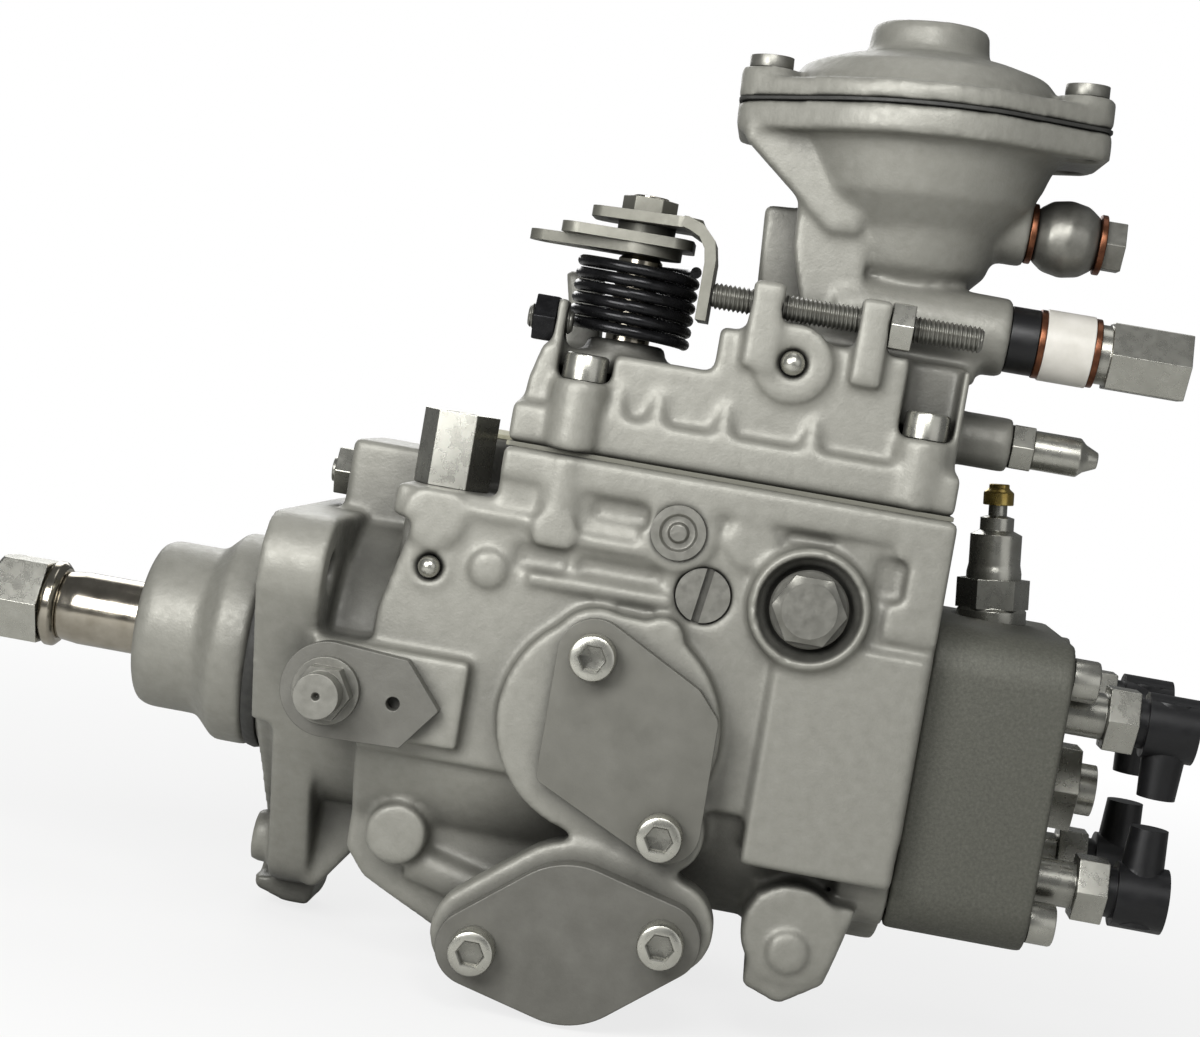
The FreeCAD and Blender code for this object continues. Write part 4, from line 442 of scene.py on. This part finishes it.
def cast(node, voxel_mm, rounds, extra=(), carve=()):
    """A casting: the node's solid with forms added and carved out, remade as one skin with soft fillets."""
    mesh = merged_copy(node)
    item = as_object(node + "_piece", mesh)
    bm = bmesh.new()
    bm.from_mesh(mesh)
    for form in extra:
        bm.from_mesh(form)
    bm.to_mesh(mesh)
    bm.free()
    if carve:
        first = item.modifiers.new("first_skin", "REMESH")
        first.mode = "VOXEL"
        first.voxel_size = voxel_mm * MM * FIRST_SKIN_SHARE
        baked(item)
    for form in carve:
        tool = as_object("tool", form)
        cut = item.modifiers.new("cut", "BOOLEAN")
        cut.operation = "DIFFERENCE"
        cut.object = tool
        baked(item)
        bpy.data.objects.remove(tool)
    remesh = item.modifiers.new("skin", "REMESH")
    remesh.mode = "VOXEL"
    remesh.voxel_size = voxel_mm * MM
    soften = item.modifiers.new("soften", "SMOOTH")
    soften.factor = 0.5
    soften.iterations = rounds
    baked(item)
    faces = sum(len(face.vertices) - 2 for face in item.data.polygons)
    if faces > CAST_TRIANGLES:
        thin = item.modifiers.new("thin", "DECIMATE")
        thin.ratio = CAST_TRIANGLES / faces
        baked(item)
    shade(item.data, 80)
    return dress(item, SLOT_OF[node], BODY_OF[node], node)


# Geometry Nodes

def coil_tree():
    """A node tree that sweeps round wire along a helix; every size is a named input."""
    tree = bpy.data.node_groups.new("wire_coil", "GeometryNodeTree")
    sides = tree.interface
    sides.new_socket("Geometry", in_out="OUTPUT", socket_type="NodeSocketGeometry")
    for name, kind in (("Radius", "Float"), ("Wire", "Float"), ("Height", "Float"), ("Turns", "Float"),
                       ("Steps", "Int"), ("Sides", "Int"), ("Finish", "Material")):
        sides.new_socket(name, in_out="INPUT", socket_type="NodeSocket" + kind)
    given = add(tree, "NodeGroupInput").outputs
    path = add(tree, "GeometryNodeCurveSpiral", Resolution=given["Steps"], Rotations=given["Turns"],
               Start_Radius=given["Radius"], End_Radius=given["Radius"], Height=given["Height"])
    wire = add(tree, "GeometryNodeCurvePrimitiveCircle", Resolution=given["Sides"], Radius=given["Wire"])
    swept = add(tree, "GeometryNodeCurveToMesh", Curve=path.outputs["Curve"],
                Profile_Curve=wire.outputs["Curve"], Fill_Caps=True)
    real = add(tree, "GeometryNodeRealizeInstances", Geometry=swept.outputs["Mesh"])
    done = add(tree, "GeometryNodeSetMaterial", Geometry=real.outputs["Geometry"], Material=given["Finish"])
    end = add(tree, "NodeGroupOutput")
    tree.links.new(done.outputs["Geometry"], end.inputs["Geometry"])
    return tree


def coil(radius, wire, height, turns, steps, sides):
    """A coil of wire as a plain mesh that rises along Z from the origin, sizes in millimetres."""
    tree = coil_tree()
    item = as_object("coil_tool", bpy.data.meshes.new("coil_tool"))
    made = item.modifiers.new("coil", "NODES")
    made.node_group = tree
    ids = {s.name: s.identifier for s in tree.interface.items_tree if s.in_out == "INPUT"}
    values = {"Radius": radius * MM, "Wire": wire * MM, "Height": height * MM, "Turns": float(turns),
              "Steps": steps, "Sides": sides, "Finish": MATERIALS["black_steel"]}
    for name, value in values.items():
        made[ids[name]] = value
    baked(item)
    mesh = item.data
    bpy.data.objects.remove(item)
    return mesh


def lathe(profile, at=(0, 0, 0), facing=(0, 0, 1), steps=64):
    """A turned mesh from (radius, height) pairs in millimetres; a third value gives a ring that many flats."""
    bm = bmesh.new()
    rings = []
    for radius, height, *flats in profile:
        if radius == 0:
            rings.append([bm.verts.new((0, 0, height * MM))])
            continue
        ring = []
        for i in range(steps):
            angle = FULL_TURN * i / steps
            reach = radius
            if flats:
                flat = FULL_TURN / flats[0]
                reach = radius / math.cos(angle % flat - flat / 2)
            ring.append(bm.verts.new(Vector((reach * math.cos(angle), reach * math.sin(angle), height)) * MM))
        rings.append(ring)
    for low, high in zip(rings, rings[1:]):
        for i in range(steps):
            j = (i + 1) % steps
            if len(low) == 1 and len(high) == 1:
                break
            if len(low) == 1:
                bm.faces.new((low[0], high[i], high[j]))
            elif len(high) == 1:
                bm.faces.new((low[i], low[j], high[0]))
            else:
                bm.faces.new((low[i], low[j], high[j], high[i]))
    turn = Vector(facing).to_track_quat("Z", "Y").to_matrix().to_4x4()
    bm.transform(Matrix.Translation(Vector(at) * MM) @ turn)
    bmesh.ops.recalc_face_normals(bm, faces=bm.faces)
    mesh = bpy.data.meshes.new("turned")
    bm.to_mesh(mesh)
    bm.free()
    return mesh


def threaded(radius, length, pitch, at, steps=28, rows_per_pitch=8):
    """A screw along X with a vee thread cut into it and chamfered ends, as one closed skin in millimetres."""
    bm = bmesh.new()
    rows = round(length / pitch * rows_per_pitch)
    chamfer = 0.9
    depth = 0.6 * pitch
    rings = []
    for row in range(rows + 1):
        along = length * row / rows
        crest = radius - max(0.0, chamfer - min(along, length - along))
        ring = []
        for col in range(steps):
            share = (along / pitch - col / steps) % 1.0
            reach = min(crest, radius - depth * abs(2 * share - 1))
            angle = FULL_TURN * col / steps
            ring.append(bm.verts.new(Vector((along, reach * math.cos(angle), reach * math.sin(angle))) * MM))
        rings.append(ring)
    for low, high in zip(rings, rings[1:]):
        for col in range(steps):
            after = (col + 1) % steps
            bm.faces.new((low[col], low[after], high[after], high[col]))
    bm.faces.new(rings[0])
    bm.faces.new(rings[-1][::-1])
    bm.transform(Matrix.Translation(Vector(at) * MM))
    bmesh.ops.recalc_face_normals(bm, faces=bm.faces)
    mesh = bpy.data.meshes.new("threaded")
    bm.to_mesh(mesh)
    bm.free()
    return mesh


def slotted_disc(radius, height, slot, depth, at, lean):
    """A screw head that faces the front: a base and two raised halves, its slot leaning from upright."""
    bm = bmesh.new()
    bm.from_mesh(lathe([(0, 0), (radius, 0), (radius, height - depth), (0, height - depth)], facing=(0, -1, 0)))
    start = math.asin(slot / 2 / radius)
    for turned in (0, math.pi):
        arc = [turned + start + (math.pi - 2 * start) * i / 24 for i in range(25)]
        low, high = ([bm.verts.new(Vector((radius * math.sin(a), -rise, radius * math.cos(a))) * MM) for a in arc]
                     for rise in (height - depth, height))
        bm.faces.new(low)
        bm.faces.new(high)
        for i in range(25):
            j = (i + 1) % 25
            bm.faces.new((low[i], low[j], high[j], high[i]))
    bmesh.ops.recalc_face_normals(bm, faces=bm.faces)
    bm.transform(Matrix.Translation(Vector(at) * MM) @ Matrix.Rotation(math.radians(lean), 4, "Y"))
    mesh = bpy.data.meshes.new("slotted")
    bm.to_mesh(mesh)
    bm.free()
    return mesh


def joined(name, meshes):
    """Several meshes as one object."""
    bm = bmesh.new()
    for mesh in meshes:
        bm.from_mesh(mesh)
    whole = bpy.data.meshes.new(name)
    bm.to_mesh(whole)
    bm.free()
    return as_object(name, whole)


# Sizes a user would change

class PumpLook(bpy.types.PropertyGroup):
    """How soft the castings are and how sharp the hardware is."""
    skin: FloatProperty(name="Skin step", description="Step of the remade casting skin",
                        default=0.0009, min=0.0004, max=0.003, precision=5, subtype="DISTANCE", unit="LENGTH")
    rounds: IntProperty(name="Softening", description="Smoothing rounds on the castings", default=6, min=0, max=40)
    edge: FloatProperty(name="Edge break", description="Broken edge on hardware",
                        default=0.00025, min=0.0, max=0.001, precision=5, subtype="DISTANCE", unit="LENGTH")
    pitch: FloatProperty(name="Thread pitch", description="Pitch of the adjusting screws",
                         default=0.001, min=0.0005, max=0.002, precision=5, subtype="DISTANCE", unit="LENGTH")
    floor: FloatVectorProperty(name="Floor colour", description="Pale studio floor", subtype="COLOR", size=4,
                               default=linear("c8c8c6"))


def look():
    """The sizes and colours that the user set."""
    return bpy.context.scene.pump_look


def break_edges(*nodes, slot=None):
    """Breaks the edges of these nodes by the user's width."""
    for node in nodes:
        chamfered(node, look().edge / MM, slot=slot)


class PUMP_OT_materials(bpy.types.Operator):
    """Make the materials of every slot"""
    bl_idname = "pump.materials"
    bl_label = "Materials"

    def execute(self, context):
        MATERIALS.update(make_materials())
        return {"FINISHED"}


def return_boss():
    """The round boss of the cover that carries the return union, up to its collar."""
    low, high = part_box("return_collar")
    _, y, z = middle_of(low, high)
    bore, length, root, tip = 6.2, 40, 9.2, 9
    outline = [(bore, -length), (root, -length), (root, -12), (tip, 0), (bore, 0), (bore, -length)]
    return lathe(outline, (low[0] / MM, y, z), (1, 0, 0))


def plug_well():
    """The rim that stands round the hex plug and the well that it surrounds."""
    low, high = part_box("side_hex_plug")
    x, _, z = middle_of(low, high)
    well_radius, well_depth, rim_radius, rim_height = 11.2, 8, 13.4, 4.6
    floor = low[1] / MM + 6.4
    rim = [(10.4, 0), (rim_radius, 0), (rim_radius, 4), (12.9, rim_height), (well_radius, rim_height), (10.4, 0)]
    well = [(0, 0), (well_radius, 0), (well_radius, well_depth), (0, well_depth)]
    return lathe(rim, (x, floor + 1.4, z), (0, -1, 0)), lathe(well, (x, floor, z), (0, -1, 0))


def pad_web():
    """Closes the narrow pit where the side cover's pad meets the timing cover's pad."""
    radius, length = 2.8, 14.6
    return lathe([(0, 0), (radius, 0), (radius, length), (0, length)], (86.5, -34, -24.6), (0, -1, 0))


def balls_of_plugs():
    """The middles of the ball plugs, the casing's before the cover's, in millimetres."""
    bm = bmesh.new()
    bm.from_mesh(merged_copy("press_plugs"))
    found = []
    for low, high in map(corners, patches(bm)):
        size = high - low
        if max(size) - min(size) < 0.4:
            found.append(list((low + high) / 2))
    bm.free()
    return sorted(found)


def ball_seat(which):
    """The wider counterbore in which a ball plug shows its dark ring."""
    x, y, z = balls_of_plugs()[which]
    radius, length = 3.5, 6
    return lathe([(0, 0), (radius, 0), (radius, length), (0, length)], (x, y + 1.2, z), (0, -1, 0))


class PUMP_OT_castings(bpy.types.Operator):
    """Remake the castings with soft edges"""
    bl_idname = "pump.castings"
    bl_label = "Castings"

    def execute(self, context):
        own = look()
        skin = own.skin / MM
        for node in ("boost_lid", "hydraulic_head"):
            cast(node, skin, own.rounds)
        rim, well = plug_well()
        cast("pump_housing", skin, own.rounds, [rim, pad_web()], [well, ball_seat(0)])
        cast("governor_cover", skin, own.rounds, [return_boss()], [ball_seat(1)])
        return {"FINISHED"}


def slotted_plug():
    """Puts a full screw slot across the slotted plug, which is the last plug towards the head."""
    piece = bpy.data.objects["press_plugs_rest"]
    bm = bmesh.new()
    bm.from_mesh(piece.data)
    patch = max(patches(bm), key=lambda p: max(v.co.x for v in p))
    low, high = corners(patch)
    bmesh.ops.delete(bm, geom=patch, context="VERTS")
    radius, height, slot, depth, lean = 6, 4, 1.7, 1.6, 8
    at = ((low.x + high.x) / 2, low.y + height, (low.z + high.z) / 2)
    bm.from_mesh(slotted_disc(radius, height, slot, depth, at, lean))
    bm.to_mesh(piece.data)
    bm.free()
    shade(piece.data, 30)


def hex_plug():
    """The plug in the rimmed well: a collar and a small chamfered hexagon."""
    low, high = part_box("side_hex_plug")
    x, _, z = middle_of(low, high)
    radius = (high[0] - low[0]) / 2 / MM
    length = (high[1] - low[1]) / MM
    stud, hexagon = 5, 7.1
    seat = length - 5.5
    top = seat + 1.4
    outline = [
        (0, 0), (stud - 0.4, 0), (stud, 0.4), (stud, seat), (radius - 0.3, seat), (radius, seat + 0.3),
        (radius, seat + 1), (radius - 0.4, top), (hexagon, top, 6), (hexagon, length - 1, 6),
        (6.3, length - 0.25), (6, length), (0, length),
    ]
    item = joined("side_hex_plug_piece", [lathe(outline, (x, high[1] / MM, z), (0, -1, 0), 72)])
    shade(item.data, 28)
    dress(item, "dull_steel", BODY_OF["side_hex_plug"], "side_hex_plug")


class PUMP_OT_plates(bpy.types.Operator):
    """Break the edges of the cover plates, the support plate and the gasket"""
    bl_idname = "pump.plates"
    bl_label = "Plates"

    def execute(self, context):
        for node in ("side_cover", "timing_covers", "support_plate", "cover_gasket"):
            chamfered(node, look().edge / MM * 1.6)
        return {"FINISHED"}


class PUMP_OT_screws(bpy.types.Operator):
    """Give the screws and studs their chamfers and hexagon sockets"""
    bl_idname = "pump.screws"
    bl_label = "Screws"

    def execute(self, context):
        for node in ("cover_bolts", "head_bolts", "cover_screws"):
            cap_screws(node)
        sunk_heads("boost_lid_screws", look().edge / MM)
        break_edges("support_bolt", "governor_axle")
        return {"FINISHED"}


class PUMP_OT_plugs(bpy.types.Operator):
    """Finish the plugs of the head, the casing and the cover"""
    bl_idname = "pump.plugs"
    bl_label = "Plugs"

    def execute(self, context):
        break_edges("head_center_plug")
        hex_plug()
        balls = [ball[0] for ball in balls_of_plugs()]
        split("press_plugs", look().edge / MM, lambda middle: min(abs(middle.x - ball) for ball in balls) < 3,
              "zinc_steel", "dull_steel")
        slotted_plug()
        return {"FINISHED"}


class PUMP_OT_outlets(bpy.types.Operator):
    """Break the edges of the delivery holders and their caps"""
    bl_idname = "pump.outlets"
    bl_label = "Outlets"

    def execute(self, context):
        break_edges("delivery_holders", "outlet_caps")
        return {"FINISHED"}


class PUMP_OT_solenoid(bpy.types.Operator):
    """Break the edges of the stop solenoid and its nut"""
    bl_idname = "pump.solenoid"
    bl_label = "Stop solenoid"

    def execute(self, context):
        break_edges("shutoff_solenoid", "terminal_nut")
        return {"FINISHED"}


class PUMP_OT_shaft(bpy.types.Operator):
    """Break the edges of the drive shaft, its nut, its lock ring and the seals"""
    bl_idname = "pump.shaft"
    bl_label = "Drive shaft"

    def execute(self, context):
        break_edges("shaft_nut", "shaft_lock_ring", "drive_shaft", "rubber_seals")
        return {"FINISHED"}


class PUMP_OT_lever(bpy.types.Operator):
    """Break the edges of the control lever, its stop plate and its nut"""
    bl_idname = "pump.lever"
    bl_label = "Control lever"

    def execute(self, context):
        break_edges("control_lever", "stop_plate")
        break_edges("lever_nut", slot="lever_steel")
        return {"FINISHED"}


class PUMP_OT_unions(bpy.types.Operator):
    """Finish the inlet and return unions and the air line's eye"""
    bl_idname = "pump.unions"
    bl_label = "Unions"

    def execute(self, context):
        break_edges("return_fitting", "return_collar", "return_insulator", "sealing_washers", "inlet_fitting")
        break_edges("banjo_bolt", slot="dull_steel")
        skin_mm, rounds = 0.5, 12
        cast("boost_banjo", skin_mm, rounds)
        return {"FINISHED"}


class PUMP_OT_inner_pieces(bpy.types.Operator):
    """Finish the pieces inside the casing"""
    bl_idname = "pump.inner_pieces"
    bl_label = "Inner pieces"

    def execute(self, context):
        break_edges("feed_pump_ring")
        width_mm, segments = 0.12, 1
        for node in sorted(frame["nodes"]):
            if not frame["nodes"][node].hide_render:
                chamfered(node, width_mm, segments)
        return {"FINISHED"}


class PUMP_OT_adjusters(bpy.types.Operator):
    """Cut threads on the adjusting screws and finish their nuts and sleeve"""
    bl_idname = "pump.adjusters"
    bl_label = "Adjusting screws"

    def execute(self, context):
        own = look()
        clearance = 0.02
        for node in ("speed_screw", "idle_screw", "full_load_screw"):
            low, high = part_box(node)
            radius = (high[1] - low[1]) / 2 / MM
            length = (high[0] - low[0]) / MM
            _, y, z = middle_of(low, high)
            mesh = threaded(radius - clearance, length, own.pitch / MM, (low[0] / MM, y, z))
            item = as_object(node + "_piece", mesh)
            shade(item.data, 60)
            dress(item, "zinc_steel" if node == "full_load_screw" else "dull_steel", BODY_OF[node], node)
        break_edges("full_load_sleeve")
        lever_side = 60
        split("adjuster_locknuts", own.edge / MM, lambda middle: middle.x < lever_side, "black_steel", "zinc_steel")
        return {"FINISHED"}


class PUMP_OT_lever_spring(bpy.types.Operator):
    """Wind the return spring under the lever plates"""
    bl_idname = "pump.lever_spring"
    bl_label = "Lever spring"

    def execute(self, context):
        low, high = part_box("lever_spring")
        wire, turns, steps, sides = 1.28, 6, 64, 14
        x, y, _ = middle_of(low, high)
        height = (high[2] - low[2]) / MM - 2 * wire
        mesh = coil((high[0] - low[0]) / 2 / MM - wire, wire, height, turns, steps, sides)
        mesh.transform(Matrix.Translation(Vector((x, y, low[2] / MM + wire)) * MM))
        item = as_object("lever_spring_piece", mesh)
        shade(mesh, 50)
        dress(item, SLOT_OF["lever_spring"], BODY_OF["lever_spring"], "lever_spring")
        return {"FINISHED"}


def pale_floor(level):
    """The floor's paint, which the camera sees fade to white away from the pump."""
    mat = bpy.data.materials.new("painted_floor_pale")
    mat.use_nodes = True
    tree = mat.node_tree
    shader = tree.nodes["Principled BSDF"]
    shader.inputs["Base Color"].default_value = tuple(look().floor)
    shader.inputs["Roughness"].default_value = 0.9
    white = add(tree, "ShaderNodeEmission", Color=(1, 1, 1, 1), Strength=1.0)
    seen = add(tree, "ShaderNodeLightPath").outputs["Is Camera Ray"]
    spot = add(tree, "ShaderNodeTexCoord").outputs["Object"]
    away = add(tree, "ShaderNodeVectorMath", {"operation": "DISTANCE"}, i0=spot, i1=(0.07, 0.0, level))
    near, far = 0.12, 0.6
    fade = span(tree, away.outputs["Value"], 0.8, 1.0, near, far)
    share = add(tree, "ShaderNodeMath", {"operation": "MULTIPLY"}, i0=seen, i1=fade)
    mix = add(tree, "ShaderNodeMixShader", Fac=share.outputs[0])
    tree.links.new(shader.outputs[0], mix.inputs[1])
    tree.links.new(white.outputs[0], mix.inputs[2])
    tree.links.new(mix.outputs[0], tree.nodes["Material Output"].inputs["Surface"])
    return mat


def lay_floor():
    """A wide plain floor just under the pump."""
    half, gap = 3.0, 0.0005
    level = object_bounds()[0][2] - gap
    mesh = bpy.data.meshes.new("floor")
    mesh.from_pydata([(-half, -half, level), (half, -half, level), (half, half, level), (-half, half, level)],
                     [], [(0, 1, 2, 3)])
    mesh.materials.append(pale_floor(level))
    return as_object("floor", mesh)


def light_world(scene):
    """A dim grey room that the camera sees as white."""
    world = bpy.data.worlds.new("studio")
    world.use_nodes = True
    scene.world = world
    tree = world.node_tree
    back = tree.nodes["Background"]
    back.inputs["Color"].default_value = linear("c9cbcc")
    back.inputs["Strength"].default_value = 0.22
    plain = add(tree, "ShaderNodeBackground", Color=(1, 1, 1, 1), Strength=1.0)
    path = add(tree, "ShaderNodeLightPath")
    mix = add(tree, "ShaderNodeMixShader", Fac=path.outputs["Is Camera Ray"])
    tree.links.new(back.outputs[0], mix.inputs[1])
    tree.links.new(plain.outputs[0], mix.inputs[2])
    tree.links.new(mix.outputs[0], tree.nodes["World Output"].inputs["Surface"])


def hang_lamps(scene):
    """The soft square lamps, all aimed at the pump."""
    aim = Vector(LAMP_AIM)
    for name, place, size, power in LAMPS:
        lamp = bpy.data.lights.new(name, "AREA")
        lamp.size = size
        lamp.energy = power
        item = bpy.data.objects.new(name, lamp)
        item.location = place
        item.rotation_euler = (aim - Vector(place)).to_track_quat("-Z", "Y").to_euler()
        scene.collection.objects.link(item)
        item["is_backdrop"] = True


def set_camera(scene):
    """The camera at the photograph's place, with its lens and its roll."""
    azimuth, elevation, roll = (math.radians(a) for a in CAMERA_TURNS)
    back_way = Vector((math.sin(azimuth) * math.cos(elevation), -math.cos(azimuth) * math.cos(elevation),
                       math.sin(elevation)))
    level_right = Vector((math.cos(azimuth), math.sin(azimuth), 0))
    level_up = back_way.cross(level_right)
    right = level_right * math.cos(roll) + level_up * math.sin(roll)
    up = level_up * math.cos(roll) - level_right * math.sin(roll)
    lens = bpy.data.cameras.new("camera")
    lens.lens = FOCAL_PX * SENSOR_MM / PICTURE_PX
    lens.clip_start = 0.01
    camera = bpy.data.objects.new("camera", lens)
    camera.matrix_world = Matrix.Translation(Vector(CAMERA_TARGET) + back_way * CAMERA_DISTANCE) @ Matrix(
        (right, up, back_way)).transposed().to_4x4()
    scene.collection.objects.link(camera)
    scene.camera = camera


class PUMP_OT_stage(bpy.types.Operator):
    """Set the floor, the lamps and the camera"""
    bl_idname = "pump.stage"
    bl_label = "Stage"

    def execute(self, context):
        scene = context.scene
        scene.view_settings.view_transform = "Standard"
        floor = lay_floor()
        light_world(scene)
        hang_lamps(scene)
        floor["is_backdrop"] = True
        set_camera(scene)
        return {"FINISHED"}


class PUMP_PT_panel(bpy.types.Panel):
    """Lists the user's sizes and the pump's steps in the sidebar"""
    bl_idname = "PUMP_PT_panel"
    bl_label = "Injection pump"
    bl_space_type = "VIEW_3D"
    bl_region_type = "UI"
    bl_category = "Injection pump"

    def draw(self, context):
        for name in ("skin", "rounds", "edge", "pitch", "floor"):
            self.layout.prop(context.scene.pump_look, name)
        for step in STEPS:
            self.layout.operator(step.bl_idname)


STEPS = (PUMP_OT_materials, PUMP_OT_castings, PUMP_OT_plates, PUMP_OT_screws, PUMP_OT_plugs, PUMP_OT_outlets,
         PUMP_OT_solenoid, PUMP_OT_shaft, PUMP_OT_lever, PUMP_OT_lever_spring, PUMP_OT_adjusters, PUMP_OT_unions,
         PUMP_OT_inner_pieces, PUMP_OT_stage)
CLASSES = (PumpLook,) + STEPS + (PUMP_PT_panel,)


def register():
    """Makes the classes and the scene's property known."""
    for item in CLASSES:
        bpy.utils.register_class(item)
    bpy.types.Scene.pump_look = PointerProperty(type=PumpLook)


def unregister():
    """Takes the classes and the scene's property away again."""
    del bpy.types.Scene.pump_look
    for item in reversed(CLASSES):
        bpy.utils.unregister_class(item)


def main():
    """Runs every step in order."""
    register()
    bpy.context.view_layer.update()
    for step in STEPS:
        group, name = step.bl_idname.split(".")
        getattr(getattr(bpy.ops, group), name)()


if __name__ == "__main__":
    main()
